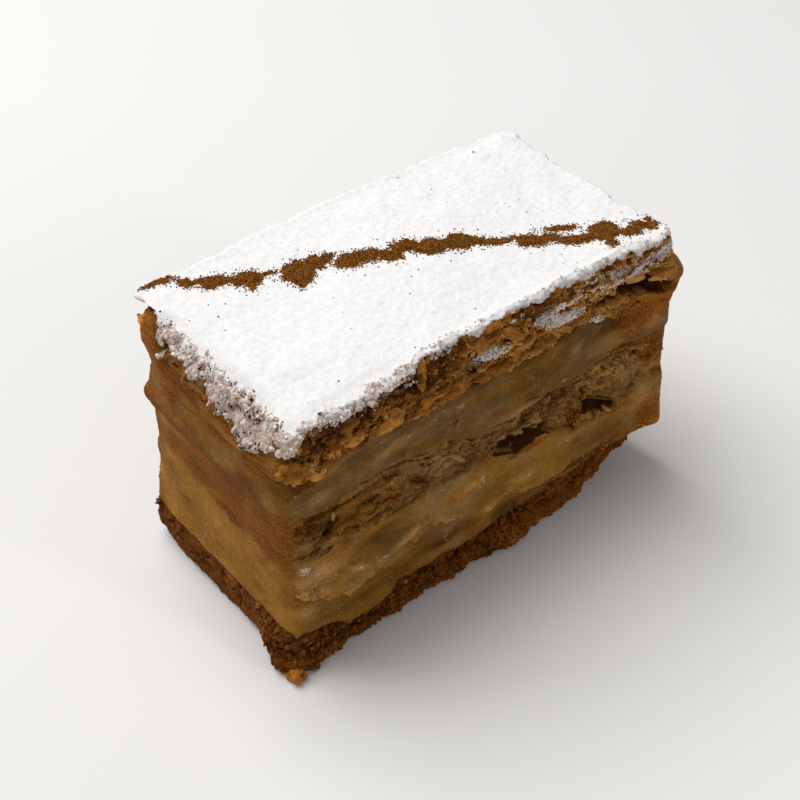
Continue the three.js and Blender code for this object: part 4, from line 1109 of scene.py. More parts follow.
def sugar_field():
    """The sugar's upper surface: a lumpy field over the crust, porous and clumped towards its edge.

    It gives back a grid of points, the directions out of them, and numbers at each point by name. Among
    them px and py are the place on the rounded grid, and ex and ey the direction out of its outline.
    """
    x, y, out_x, out_y, inward = rounded_grid()
    edge = 1 - smooth(inward / 3)
    front = smooth((-y - 19) / 5) * (out_y < -0.5)
    wave = 0.45 * uneven(x / 5, y / 5, 0, 2, 211) + 0.35 * uneven(x / 1.5, y / 1.5, 0, 3, 212)
    back = smooth((y - 18) / 5)
    inset = np.interp(x, *SUGAR_RETREAT) * smooth((-out_y - 0.3) / 0.5)
    back_left = 3.0 * smooth((y - 15) / 4) * smooth((-x - 44) / 3) * smooth((-out_x - 0.2) / 0.5)
    inset += 0.7 * smooth((-out_x - 0.3) / 0.5) + back_left
    far_side = 0.6 * smooth((out_y - 0.3) / 0.5) * (1 - smooth((x - 8) / 12)) * smooth((x + 50) / 5)
    far_side = far_side + 0.3 * smooth((out_x - 0.3) / 0.5)
    pull = (wave + SUGAR["out"] - inset + far_side) * edge
    mx, my = x + pull * out_x, y + pull * out_y
    roll = rolled(mx, my)
    rim = mix(SUGAR["edge"], SUGAR["left"], roll) + 0.5 * back * edge
    drift = SUGAR["drift"] * (np.sin(x / 9 + y / 14) + np.cos(x / 15 - y / 8))
    round_off = 0.7 * (1 - smooth(inward / 1.2)) ** 2
    thick = mix(rim, SUGAR["middle"] + drift, smooth(inward / 4)) - round_off
    lumps = 0.16 * uneven(x / 6, y / 6, 0, 3, 213) + 0.05 * uneven(x / 0.9, y / 0.9, 0, 3, 214)
    spice = cinnamon_at(mx, my)
    z = crust_top(mx, my) + raised_rim(mx, my) * edge + thick + lumps + 0.4 * smooth(spice / 1.2)
    ragged = uneven(mx / 2.4, my / 2.4, z / 2.4, 4, 219)
    left = smooth((63.4 + 0.9 * ragged - z) / 2.2) * smooth((-45 - mx) / 2)
    brim = front * (1 - smooth((inward - 0.2 - 0.8 * ragged) / 1.2)) * mix(0.8, 0.3, smooth((mx + 18) / 6))
    porous = np.clip(left + brim, 0, 1)
    dome, crack = clumps(mx / 2.1, my / 2.1, z / 2.1, 215)
    small, gap = clumps(mx / 0.7, my / 0.7, z / 0.7, 220)
    bare = smooth((np.interp(my, *SUGAR_LINE) + 1.6 * ragged - z) / 1.0) * smooth((-46 - mx) / 2)
    fluff = uneven(mx / 0.8, my / 0.8, z / 0.8, 3, 223)
    bump = 0.8 * dome + 0.25 * small - 0.5 * crack * (1 - dome) - 0.5 + 0.3 * ragged
    bump = porous * (bump + mix(0.25, 0.1, left) * fluff) - 0.5 * bare
    points, normal = moved_along(np.stack([mx, my, z], -1), bump)
    # Thin sugar, with painted shade: darker between clumps than on their tops, and lower down the roll.
    thin = porous * (1.0 - 0.35 * dome + 0.25 * ragged + mix(0.3, 0.1, left) * fluff)
    thin = thin * mix(0.65, 1, left) + 0.3 * left * smooth((62 - z) / 5)
    # Pits: the crust showing through, with painted shade in the cracks between clumps.
    pit = porous * (0.7 * crack * (1 - dome) + 0.22 * gap + 0.3 * smooth(ragged * 1.5 - 0.3))
    pit = pit * mix(1, 0.6, left) + bare
    loose = (porous * (1 - bare) * mix(1, 0.3, left)) * (inward > 0.4)
    numbers = dict(zip("xyz", np.moveaxis(points, -1, 0)), px=x, py=y, ex=out_x, ey=out_y, roll=roll)
    return points, normal, numbers | dict(
        front=front, rim=rim, bare=bare, spice=spice, thin=thin, pit=pit, loose=loose,
    )


def hanging_rim(at):
    """The rim that hangs from the sugar's border, whose numbers at holds: clumped, and drawn in at its foot.

    It gives back points, rows down by points round, and how thin (with painted shade), pitted and loose it
    is.
    """
    share = np.linspace(0, 1, HANG_ROWS + 1)[1:, None]
    ragged = uneven(at["px"] / 3.4, at["py"] / 3.4, 0, 3, 217)
    hang = mix(at["rim"] + 0.2, np.interp(at["px"], *SUGAR_HANG), at["front"])
    hang = mix(hang, np.interp(at["py"], *LEFT_HANG), smooth((-at["ex"] - 0.3) / 0.4))
    hang = np.clip(hang * (1 + 0.5 * ragged) + 0.6 * ragged, 0.6, None)
    hang *= 1 - 0.7 * smooth((at["py"] - 17) / 5) * smooth((-at["px"] - 36) / 6)
    z = at["z"] - hang * share
    bulge = np.sin(np.pi * np.clip(share * 1.1, 0, 1)) ** 0.7
    out = 0.3 * bulge - 1.9 * smooth((share - 0.75) / 0.25)
    x, y = at["x"] + at["ex"] * out, at["y"] + at["ey"] * out
    dome, crack = clumps(x / 2.0, y / 2.0, z / 1.7, 218)
    small, gap = clumps(x / 0.7, y / 0.7, z / 0.7, 222)
    torn = at["front"] * mix(1, 0.4, smooth((at["px"] + 18) / 6))
    torn = np.clip(at["roll"] + torn + smooth((at["py"] - 14) / 4) * smooth((-at["px"] - 44) / 3), 0, 1)
    fluff = uneven(x / 0.8, y / 0.8, z / 0.8, 3, 224)
    lump = mix(0.3, 1.0, torn) * (0.8 * dome + 0.25 * small - 0.7 + 0.15 * fluff) * bulge
    points = np.stack([x + at["ex"] * lump, y + at["ey"] * lump, z], -1)
    # Painted shade on the hanging rim, and pits darker towards its foot, with painted shade in cracks between
    # clumps.
    thin = mix(0.25, 1.05 - 0.35 * dome + 0.2 * fluff, torn) * smooth(share / 0.3 + 0.5) + 0.25 * at["roll"]
    pit = torn * (0.7 * crack * (1 - dome) + 0.3 * gap + 0.6 * smooth((share - 0.45) / 0.5)) + at["bare"]
    loose = 0.5 * torn * bulge * (1 - at["bare"]) * (at["py"] < 15)
    return points, thin, pit, loose


def sugar_piece(material):
    """The icing sugar: the field, its hanging rim, and a hidden floor in the crust that closes the mesh.

    It gives back its points, the directions out of them and how loose the sugar is there, for the grains.
    """
    points, normal, numbers = sugar_field()
    rows, columns = points.shape[:2]
    grid = np.arange(rows * columns).reshape(rows, columns)
    top = np.stack([grid[:-1, :-1], grid[:-1, 1:], grid[1:, 1:], grid[1:, :-1]], -1).reshape(-1, 4)
    border = np.concatenate([grid[0, :-1], grid[:-1, -1], grid[-1, :0:-1], grid[:0:-1, 0]])
    around = len(border)
    at = {key: value.ravel()[border] for key, value in numbers.items()}
    hanging, thin, pit, loose = hanging_rim(at)
    x, y = TUCK * at["px"], TUCK * at["py"]
    tuck = np.stack([x, y, crust_top(x, y) - UNDER], -1)
    outside = np.vstack([points.reshape(-1, 3), hanging.reshape(-1, 3)])
    everything = np.vstack([outside, tuck, [[0, 0, crust_top(0, 0) - UNDER]]])
    below = grid.size + np.arange((HANG_ROWS + 1) * around).reshape(-1, around)
    rings = np.concatenate([border[None], below])
    following = np.roll(rings, -1, axis=1)
    walls = np.stack([rings[1:], following[1:], following[:-1], rings[:-1]], -1).reshape(-1, 4)
    floor = np.stack([np.full(around, len(everything) - 1), following[-1], rings[-1]], -1)
    hidden = np.ones(around + 1)
    spice = np.tile(at["spice"] - 0.5, HANG_ROWS)
    values = {
        "thin": np.concatenate([numbers["thin"].ravel(), thin.ravel(), hidden]),
        "pit": np.concatenate([numbers["pit"].ravel(), pit.ravel(), hidden]),
        "cinnamon": np.concatenate([numbers["spice"].ravel(), spice, -9 * hidden]),
    }
    put("icing_sugar", everything, [top, walls, floor], material, values, "icing_sugar")
    sideways = np.stack(np.broadcast_arrays(at["ex"], at["ey"], 0 * loose), -1).reshape(-1, 3)
    return (
        outside, np.vstack([normal.reshape(-1, 3), sideways]),
        np.concatenate([numbers["loose"].ravel(), loose.ravel()]),
    )


# ---- Light, camera and floor ----
# Angles in degrees, distance from the slice's middle and aim across the view in millimetres.
CAMERA = {"azimuth": -37.7, "elevation": 41.0, "roll": -1.3, "distance": 345.0, "aim": (-1.4, -3.8)}
LENS, SENSOR = 72.0, 36  # the lens and its sensor's width, in millimetres
MIDDLE = Vector((0, 0, 32.5))
# Square lights: place and aim in metres, size, power and colour.
KEY = ((-0.18, 0.44, 0.94), (0, 0, 0.03), 0.9, 11.8, (1, 0.985, 0.96))
FILL = ((0.3, -0.85, 0.55), (0, 0, 0.03), 0.12, 1.1, (1, 0.97, 0.93))
SURROUNDINGS = 0.25  # strength of the white light from all round
FLOOR_HALF = 4.0  # in metres
FLOOR_COLOURS = (0.80, 0.80, 0.80), (0.83, 0.83, 0.83)


def add_camera():
    """A camera on a sphere about the slice's middle, rolled about its line of sight and moved to its aim."""
    a, e, r = np.radians([CAMERA["azimuth"], CAMERA["elevation"], CAMERA["roll"]])
    back = Vector((np.sin(a) * np.cos(e), -np.cos(a) * np.cos(e), np.sin(e)))
    right = (-back).cross(Vector((0, 0, 1))).normalized()
    up = right.cross(-back)
    right, up = right * np.cos(r) + up * np.sin(r), up * np.cos(r) - right * np.sin(r)
    aim = right * CAMERA["aim"][0] + up * CAMERA["aim"][1]
    place = (MIDDLE + back * CAMERA["distance"] + aim) * MM
    camera = bpy.data.cameras.new("camera")
    camera.lens = LENS
    camera.sensor_width = SENSOR
    camera.clip_start, camera.clip_end = 0.01, 20
    holder = bpy.data.objects.new("camera", camera)
    holder.matrix_world = Matrix.Translation(place) @ Matrix((right, up, back)).transposed().to_4x4()
    bpy.context.scene.collection.objects.link(holder)
    bpy.context.scene.camera = holder


def add_light(name, place, aim, size, power, colour):
    """A square soft light at a place in metres, turned to its aim."""
    light = bpy.data.lights.new(name, "AREA")
    light.size = size
    light.energy = power
    light.color = colour
    holder = bpy.data.objects.new(name, light)
    holder.location = place
    holder.rotation_euler = (Vector(aim) - Vector(place)).to_track_quat("-Z", "Y").to_euler()
    bpy.context.scene.collection.objects.link(holder)


def add_floor():
    """A plain pale floor, wide enough to fill the view."""
    material, tree, shader = new_material("pale_floor")
    colour = blend(tree, between(tree, grain(tree, 300, 2), 0.3, 0.7), *FLOOR_COLOURS)
    tree.links.new(colour, shader.inputs["Base Color"])
    shader.inputs["Roughness"].default_value = 0.9
    mesh = bpy.data.meshes.new("floor")
    corners = [(FLOOR_HALF * x, FLOOR_HALF * y, 0) for x, y in ((-1, -1), (1, -1), (1, 1), (-1, 1))]
    mesh.from_pydata(corners, [], [(0, 1, 2, 3)])
    mesh.materials.append(material)
    floor = bpy.data.objects.new("floor", mesh)
    bpy.context.scene.collection.objects.link(floor)


def add_studio():
    """White surroundings, a soft key from above and the left rear, and a weak fill from the front right."""
    world = bpy.data.worlds.new("studio")
    world.use_nodes = True
    bpy.context.scene.world = world
    world.node_tree.nodes["Background"].inputs[0].default_value = (1, 1, 1, 1)
    world.node_tree.nodes["Background"].inputs[1].default_value = SURROUNDINGS
    add_light("key", *KEY)
    add_light("fill", *FILL)
    view = bpy.context.scene.view_settings
    view.view_transform = "Standard"
    view.look = "None"


# ---- The slice ----
CRUST_COLOURS = (
    (0.30, (0.12, 0.036, 0.004)), (0.43, (0.275, 0.096, 0.012)), (0.55, (0.45, 0.184, 0.027)),
    (0.72, (0.66, 0.35, 0.080)),
)
SOAKED_COLOURS = (
    (0.30, (0.12, 0.046, 0.008)), (0.45, (0.22, 0.098, 0.018)), (0.56, (0.32, 0.155, 0.033)),
    (0.72, (0.46, 0.26, 0.08)),
)
BASE_COLOURS = (
    (0.30, (0.045, 0.013, 0.0015)), (0.45, (0.145, 0.042, 0.004)), (0.57, (0.26, 0.082, 0.008)),
    (0.72, (0.45, 0.165, 0.02)),
)
FLAKE_COLOURS = (
    (0.0, (0.10, 0.028, 0.003)), (0.4, (0.23, 0.078, 0.009)), (0.75, (0.43, 0.163, 0.020)),
    (1.0, (0.68, 0.33, 0.072)),
)
CRUMB_COLOURS = (
    (0.0, (0.048, 0.013, 0.0015)), (0.4, (0.145, 0.044, 0.005)), (0.75, (0.33, 0.12, 0.015)),
    (1.0, (0.58, 0.28, 0.06)),
)
SOAKED_CRUMBS = (
    (0.0, (0.09, 0.034, 0.006)), (0.4, (0.17, 0.075, 0.014)), (0.75, (0.26, 0.125, 0.028)),
    (1.0, (0.42, 0.24, 0.08)),
)
BASE_CRUMBS = (
    (0.0, (0.05, 0.014, 0.002)), (0.4, (0.13, 0.039, 0.004)), (0.75, (0.25, 0.080, 0.008)),
    (1.0, (0.48, 0.19, 0.03)),
)
SOAKED_FLAKES = (
    (0.0, (0.13, 0.054, 0.010)), (0.35, (0.22, 0.100, 0.021)), (0.7, (0.33, 0.170, 0.046)),
    (1.0, (0.52, 0.34, 0.14)),
)
# The darkest tones are sugar in painted shade.
SUGAR_GRAINS = ((0.0, (0.42, 0.32, 0.265)), (0.4, (0.70, 0.60, 0.55)), (1.0, (0.90, 0.835, 0.80)))
SPICE_GRAINS = ((0.0, (0.08, 0.025, 0.003)), (0.5, (0.175, 0.062, 0.008)), (1.0, (0.31, 0.125, 0.020)))
# Single flakes on the front: x, height, half length, half width, turn in degrees, how far up it faces in
# radians, and tone.
CRUST_FLAKES = (
    (-17.3, 61.2, 2.9, 1.1, 85, 0.2, 0.8), (-18.5, 53.6, 2.4, 0.6, -55, 0.5, 0.6),
    (-12, 55.2, 3.4, 1.1, 8, 0.8, 0.6), (2, 61.2, 3.6, 1.5, 8, 0.8, 0.65),
    (5, 59.8, 3.3, 1.0, -35, 0.7, 0.6), (3, 63.4, 4, 0.9, 3, 0.9, 0.6), (9, 56, 2.6, 1.1, -25, 0.5, 0.4),
    (15, 53.3, 2.6, 1.3, -20, 0.4, 0.4), (39.6, 56.8, 3.6, 1.1, -12, 0.6, 1.1),
    (44.8, 55.4, 3.4, 1.0, -30, 0.4, 1.1), (24, 62.4, 2.6, 0.6, -6, 0.9, 0.6),
    (36, 61.6, 2.2, 0.6, 2, 0.9, 0.65), (-9, 58.6, 2.0, 0.9, 15, 0.7, 0.5),
    (31, 60.2, 2.6, 0.6, -8, 0.9, 0.6), (20, 60.6, 2.6, 0.6, -12, 0.9, 0.55),
    (47, 58.6, 2.4, 0.7, -10, 0.8, 0.6),
)
# Round lumps on the front: x, height, half length, half height, turn in degrees and tone.
CRUST_LUMPS = (
    (-46.8, 53.2, 2.8, 2.0, 12, 0.72), (-43.6, 51.6, 2.3, 2.4, -40, 0.9), (-42.2, 49.4, 1.5, 1.8, 0, 0.7),
    (-33.8, 53.6, 2.5, 1.9, -30, 0.85), (-31.4, 54.8, 1.5, 1.1, 0, 0.5), (-26, 55.0, 3.0, 1.6, 10, 0.8),
    (-28.6, 56.4, 2.0, 1.3, 30, 0.6), (-15.5, 54.2, 3.2, 1.5, -20, 0.62), (-18.8, 55.6, 1.8, 1.3, 0, 0.65),
    (-7.8, 52.9, 3.0, 1.4, -12, 0.6), (-11, 54.2, 2.1, 1.3, 0, 0.5), (-38.4, 55.6, 2.2, 1.5, 10, 0.45),
    (-49.4, 54.8, 1.8, 1.8, 0, 0.55), (-2, 53.8, 2.6, 1.4, 0, 0.45), (3.4, 52.8, 2.6, 1.2, 0, 0.45),
    (-21, 57.8, 1.8, 1.3, 20, 0.4), (-35, 58.4, 1.8, 1.1, 0, 0.4), (-9, 58.8, 2.0, 1.2, 0, 0.5),
    (8, 55.0, 2.8, 1.4, -20, 0.45), (0.5, 62.2, 3.0, 1.5, 10, 0.75), (-3.6, 60.8, 2.0, 1.2, 0, 0.65),
    (5.5, 59.6, 2.8, 1.1, -35, 0.65), (14, 53.4, 2.8, 1.5, -20, 0.45), (-30.4, 60.2, 1.5, 1.0, 0, 0.45),
    (-44, 57.6, 1.9, 1.1, 20, 0.4), (23, 53.6, 2.4, 1.2, -15, 0.45), (-14.4, 60.4, 1.6, 1.1, 0, 0.45),
    (-40, 53.2, 1.8, 1.3, 0, 0.4), (-21.5, 53.6, 1.7, 1.1, 0, 0.5),
)
MIDDLE_LUMPS = (
    (3, 36.4, 1.6, 0.9, -10, 0.55), (5.6, 35.4, 1.3, 0.8, 20, 0.6), (8.4, 36.8, 1.7, 1.0, -15, 0.55),
    (11.5, 34.6, 1.6, 0.9, -25, 0.6), (14, 36.2, 1.5, 1.0, 10, 0.6), (17, 34.4, 1.5, 0.8, -10, 0.65),
    (19.4, 36.6, 1.8, 1.0, -20, 0.55), (22.6, 37.4, 1.5, 0.8, 0, 0.6), (25.4, 36.0, 1.6, 0.9, -20, 0.55),
    (28.6, 37.8, 1.8, 0.8, -10, 0.5), (31.5, 36.2, 1.7, 0.9, -30, 0.5), (36, 35.0, 1.8, 1.1, -30, 0.45),
    (39, 33.8, 1.6, 0.9, -35, 0.45), (30.4, 31.9, 1.9, 0.8, -40, 0.6), (33.4, 30.2, 2.2, 0.9, -40, 0.6),
    (36.2, 28.2, 1.6, 0.8, -42, 0.55), (0.4, 33.6, 1.4, 0.8, 0, 0.6), (3.8, 32.9, 1.4, 0.7, -20, 0.65),
    (7.6, 32.6, 1.5, 0.7, -15, 0.65), (11.4, 31.6, 1.5, 0.7, -20, 0.65), (14.8, 30.8, 1.3, 0.7, -20, 0.6),
    (-2, 35.2, 1.4, 0.8, 0, 0.5), (-6, 34.0, 1.3, 0.7, -20, 0.55), (24.2, 31.6, 1.2, 1.4, 0, 0.4),
    (-9, 37.0, 1.6, 0.8, -10, 0.4), (-13, 36.4, 1.2, 0.7, 0, 0.4), (30.2, 25.2, 0.8, 0.8, 0, 0.7),
    (41, 36.4, 1.4, 0.9, 0, 0.4),
)
MIDDLE_FLAKES = (
    (-14, 38.7, 1.6, 0.8, -35, 0.5, 0.8), (-18, 41, 3.0, 0.35, -22, 0.5, 0.75),
    (-7.6, 33.4, 2.2, 0.6, -45, 0.4, 0.95), (-10, 35.4, 1.3, 0.5, -20, 0.7, 0.7),
    (-17, 30.8, 1.3, 0.7, -10, 0.6, 0.85), (-8.3, 45.2, 1.9, 0.6, 75, 0.1, 0.6),
    (34, 31.6, 5.6, 1.2, -38, 0.4, 0.55), (20, 36.5, 1.5, 0.6, -12, 0.7, 0.6),
    (16, 36.3, 1.3, 0.7, 10, 0.7, 0.6), (24, 36.7, 1.3, 0.6, -25, 0.7, 0.6),
    (11, 39.6, 2.0, 0.45, -8, 0.8, 0.7), (23.5, 38.5, 1.2, 0.4, 0, 0.8, 0.75),
    (33, 25.4, 1.5, 0.7, -40, 0.6, 0.8), (24.6, 25, 1.2, 1.0, 60, 0.2, 0.7),
    (27.2, 24.6, 0.9, 0.6, 0, 0.3, 0.6), (-39, 36.7, 1.3, 0.5, 80, 0.3, 0.9),
    (-12, 40.8, 1.2, 0.8, 70, 0.3, 0.7), (2, 37.4, 1.6, 0.5, -15, 0.7, 0.6),
    (40, 33, 2.0, 0.5, -35, 0.6, 0.55), (30, 39.4, 1.5, 0.5, -10, 0.7, 0.55),
    (-24, 34.4, 1.6, 0.5, -25, 0.6, 0.5), (36.6, 37.6, 1.6, 0.5, -20, 0.7, 0.55),
    (-44, 33, 1.2, 0.6, 20, 0.6, 0.5), (12, 33.6, 4.2, 0.5, -6, 0.7, 0.6),
    (3, 34.2, 1.4, 0.5, 10, 0.6, 0.65), (17.5, 31.4, 1.2, 0.5, -30, 0.6, 0.6),
)


# The light chip against the front left corner: each lump's x, y, height, three radii and tone.
CHIP = (
    (-52.2, -28.4, 1.4, 1.9, 1.6, 1.3, 0.75), (-50.8, -29.0, 1.0, 1.3, 1.1, 0.9, 0.6),
    (-53.0, -27.6, 0.9, 1.1, 1.0, 0.8, 0.55), (-51.6, -28.9, 2.4, 1.0, 0.9, 0.8, 0.7),
)
# Flakes and crumbs strewn over the pastry: how many, their size and the seed of their draws.
STREWN = {
    "crust_flakes": (160, 1.4, 303),
    "crust_crumbs": (4200, 0.75, 304),
    "middle_flakes": (130, 1.0, 305),
    "middle_crumbs": (700, 0.5, 306),
    "base_crumbs": (4000, 0.75, 307),
}
# Grains: how many, their least and greatest radius and the seed of their dents.
GRAINS = {
    "custard_crumbs": (1200, 0.06, 0.26, 324),
    "fallen_sugar": (7000, 0.08, 0.34, 313),
    "sugar_grains": (2600, 0.08, 0.24, 309),
    "sugar_clumps": (520, 0.22, 0.62, 332),
    "rim_crumbs": (520, 0.1, 0.3, 333),
    "cinnamon_grains": (5200, 0.08, 0.2, 310),
}
UNCUT = 0.3  # how deep a hollow may be where a loose thing still lies


def without_hollows(wall):
    """A layer's side as it stood before its hollows were cut."""
    return wall[0] + carved(wall[1]), wall[1]


def front_flakes(name, table, wall, material, slot, seed):
    """The single flakes of a table, bent back at their ends, just off the outermost front at their height."""
    x, z, long, wide, turn, facing, tone = np.array(table).T
    uncut = without_hollows(wall)
    y = np.min([at_side(uncut, x, z + up, -1) for up in (-0.5, 0, 0.5)], axis=0)
    turn = np.radians(turn)
    lengthways = np.stack([np.cos(turn), 0 * x, np.sin(turn)], -1)
    outwards = np.stack([0 * x, -np.cos(facing), np.sin(facing)], -1)
    centres = np.stack([x, y, z], -1) + 0.25 * outwards
    sizes = np.stack([0.92 * long, 0.92 * wide, 0.35 + 0.3 * wide], -1)
    bends = np.stack([-0.15 * long, -0.45 * wide], -1)
    tone = tone - 0.05
    plates(name, centres, lengthways, outwards, sizes, bends, material, seed, tone, around=24, rings=6)


def front_lumps(name, table, wall, material, slot, seed):
    """The round lumps of a table, half sunk in a layer's front: uneven stretched balls, turned in place."""
    x, z, long, high, turn, tone = np.array(table).T
    shape, faces = ball(around=28, levels=19)
    count = len(x)
    each = 9.1 * np.arange(count)[:, None]
    dents = 1 + 0.42 * uneven(*(1.3 * shape[:, :2].T), 1.3 * shape[:, 2] + each, 4, seed)
    local = shape[None] * dents[..., None] * np.stack([long, 0.75 * high, high], -1)[:, None, :]
    c, s = np.cos(np.radians(turn))[:, None], np.sin(np.radians(turn))[:, None]
    y = at_side(without_hollows(wall), x, z, -1)
    points = np.stack([
        x[:, None] + local[..., 0] * c - local[..., 2] * s, y[:, None] - 0.1 + local[..., 1],
        z[:, None] + local[..., 0] * s + local[..., 2] * c,
    ], -1)
    values = {"tone": np.repeat(tone, len(shape))}
    put(name, points.reshape(-1, 3), [many(shape, faces, count)], material, values, None)


def run_of(places):
    """How far along its long side each place is, the back turned end for end."""
    return places[:, 0] * np.where(places[:, 1] < 0, 1, -1)


def side_painted_light_and_tone(places):
    """How much lighter or darker a scattered piece is, following its long side's painted light and shade and
    tone.
    """
    return 0.3 * np.clip(spots(PAINTED_LIGHT_AND_TONE_SPOTS, run_of(places), places[:, 2]), -1, 1)


def loose_flakes(name, wall, weight, material):
    """Small flakes over a layer's side, lying along it and facing partly up, turned at random.

    Past the left part of the crust's long sides they are the long thin rims of flat leaves.
    """
    count, size, seed = STREWN[name]
    random = np.random.default_rng(seed)
    centres, outwards = on_side(wall, weight, count, seed)
    flat = smooth((run_of(centres)[:, None] + 8) / 10) * smooth((centres[:, 2:] - 44) / 3)
    slope = random.normal(0, 0.45, (count, 1)) * mix(1, 0.3, flat) - 0.08 * flat
    lengthways = np.hstack([-outwards[:, 1:2], outwards[:, :1], slope])
    facing = mix(random.uniform(0.1, 1.5, (count, 1)), random.uniform(1.0, 1.5, (count, 1)), flat)
    outwards = outwards * np.cos(facing) + np.array([0, 0, 1]) * np.sin(facing)
    sizes = size * (0.35 + 1.5 * random.random((count, 1)) ** 2.5) * random.uniform(0.7, 1.3, (count, 2))
    sizes = sizes * np.hstack([mix(0.8, 1.3, flat), mix(0.6, 0.35, flat)])
    sizes = np.hstack([sizes, mix(0.6, 0.35, flat)])
    bends = sizes[:, :2] * random.uniform(-0.5, 0.2, (count, 2))
    tone = np.clip(random.normal(0.3, 0.2, count) + 0.25 * flat[:, 0] + side_painted_light_and_tone(centres), 0, 1)
    plates(name, centres + 0.05 * outwards, lengthways, outwards, sizes, bends, material, seed, tone)


def loose_crumbs(name, wall, weight, material):
    """Crumbs over a layer's side, partly sunk in it, of many sizes."""
    count, size, seed = STREWN[name]
    random = np.random.default_rng(seed)
    centres, outwards = on_side(wall, weight, count, seed)
    radii = size * (0.25 + random.random((count, 1)) ** 3) * random.uniform(0.6, 1.4, (count, 3))
    tone = np.clip(random.normal(0.42, 0.2, count) + side_painted_light_and_tone(centres), 0, 1)
    grains(name, centres - 0.1 * radii[:, :1] * outwards, radii, material, seed, tone)


def strew_crust(wall):
    """Flakes and crumbs over the crust, clear of its sugar, its top, its ends and its hollows.

    The left part has fewer flakes and more crumbs, and the gap under the leaves at the right has hardly any.
    """
    z = wall[1]
    clear = LOOSE * (1 - np.clip(spots(SUGARED, *shown(*wall)) * FACE, 0, 0.85)) * (carved(z) < UNCUT)
    clear = clear * smooth(CRUST_TOP - 0.8 - z) * (1 - smooth((np.abs(RUN) - 46) / 2))
    clear = clear * (1 - 0.97 * smooth((RUN - 29) / 4) * smooth((57.5 - z) / 1.5))
    flaky = (1 - 0.75 * smooth((-RUN - 4) / 8)) * smooth((z - 49) / 3)
    loose_flakes("crust_flakes", wall, clear * flaky, flake_finish)
    crumbly = 1 + 1.5 * smooth((-RUN - 2) / 12) * smooth((z - 55) / 3)
    loose_crumbs("crust_crumbs", wall, clear * crumbly, crust_crumb_finish)


def strew_middle(wall):
    """Flakes and crumbs over the middle sheet, clear of its hollows, and fewer where custard covers it."""
    weight = LOOSE * (carved(wall[1]) < UNCUT) * (0.35 + 0.65 * smooth((RUN + 12) / 8))
    loose_flakes("middle_flakes", wall, weight, soaked_flake_finish)
    loose_crumbs("middle_crumbs", wall, weight, soaked_crumb_finish)


def strew_base(wall):
    """Crumbs over the bottom sheet: most low down and at its spread corner, few low at the right front."""
    z = wall[1]
    low_rim = np.exp(-((z - 2) / 3) ** 2) + 0.4
    still = 1 - 0.8 * smooth((OX - 8) / 10) * (NY < 0) * (1 - smooth((z - 4) / 2))
    weight = low_rim * still * (mix(0.3, 1, TORN) + 2 * near(OX, OY, FLARE) / FLARE[3])
    loose_crumbs("base_crumbs", wall, weight, base_crumb_finish)


def strew_custard(wall):
    """Crumbs caught on the thick custard: along its lip, in patches below it, and where it is crinkled."""
    count, least, most, seed = GRAINS["custard_crumbs"]
    lip_seed, patch_seed, place_seed, radius_seed, tone_seed = 320, 321, 322, 323, 325
    z = wall[1]
    over = z - LOWER_LIP
    at_lip = np.exp(-((over - 0.2) / 0.8) ** 2) * TORN
    at_lip = at_lip * np.clip(0.4 + uneven(OX / 4, OY / 4, 0, 3, lip_seed), 0, None)
    below = mix(0.012, 0.07, smooth(-over / 1.5)) * TORN
    below = below * np.clip(uneven(OX / 3, OY / 3, z / 2, 2, patch_seed), 0, None)
    crinkled = 0.3 * spots(CRINKLE, RUN, z) * FACE * (OY < 0)
    centres, _ = on_side(wall, at_lip + below + crinkled, count, place_seed)
    radii = np.random.default_rng(radius_seed).uniform(least, most, (count, 3))
    tone = np.random.default_rng(tone_seed).uniform(0.5, 1.2, count)
    grains("custard_crumbs", centres, radii, flake_finish, seed, tone)


def strew_fallen_sugar(wall):
    """Sugar fallen on the front of the crust: within its spots, in drawn-out layers, clear of the hollows."""
    count, least, most, seed = GRAINS["fallen_sugar"]
    place_seed, radius_seed, layer_seed, tone_seed = 311, 312, 314, 327
    z = wall[1]
    layered = smooth(1.6 * uneven(RUN / 7, OY / 7, (z + 0.08 * RUN) / 0.9, 2, layer_seed) + 0.4)
    weight = np.clip(spots(SUGARED, *shown(*wall)), 0, 1) ** 1.5 * POWDERED * (0.06 + layered)
    centres, outwards = on_side(wall, weight * (carved(z) < UNCUT), count, place_seed)
    radii = np.random.default_rng(radius_seed).uniform(least, most, (count, 3))
    tone = np.random.default_rng(tone_seed).uniform(0.5, 1.3, count)
    grains("fallen_sugar", centres + 0.2 * outwards, radii, sugar_grain_finish, seed, tone, 5, 2)


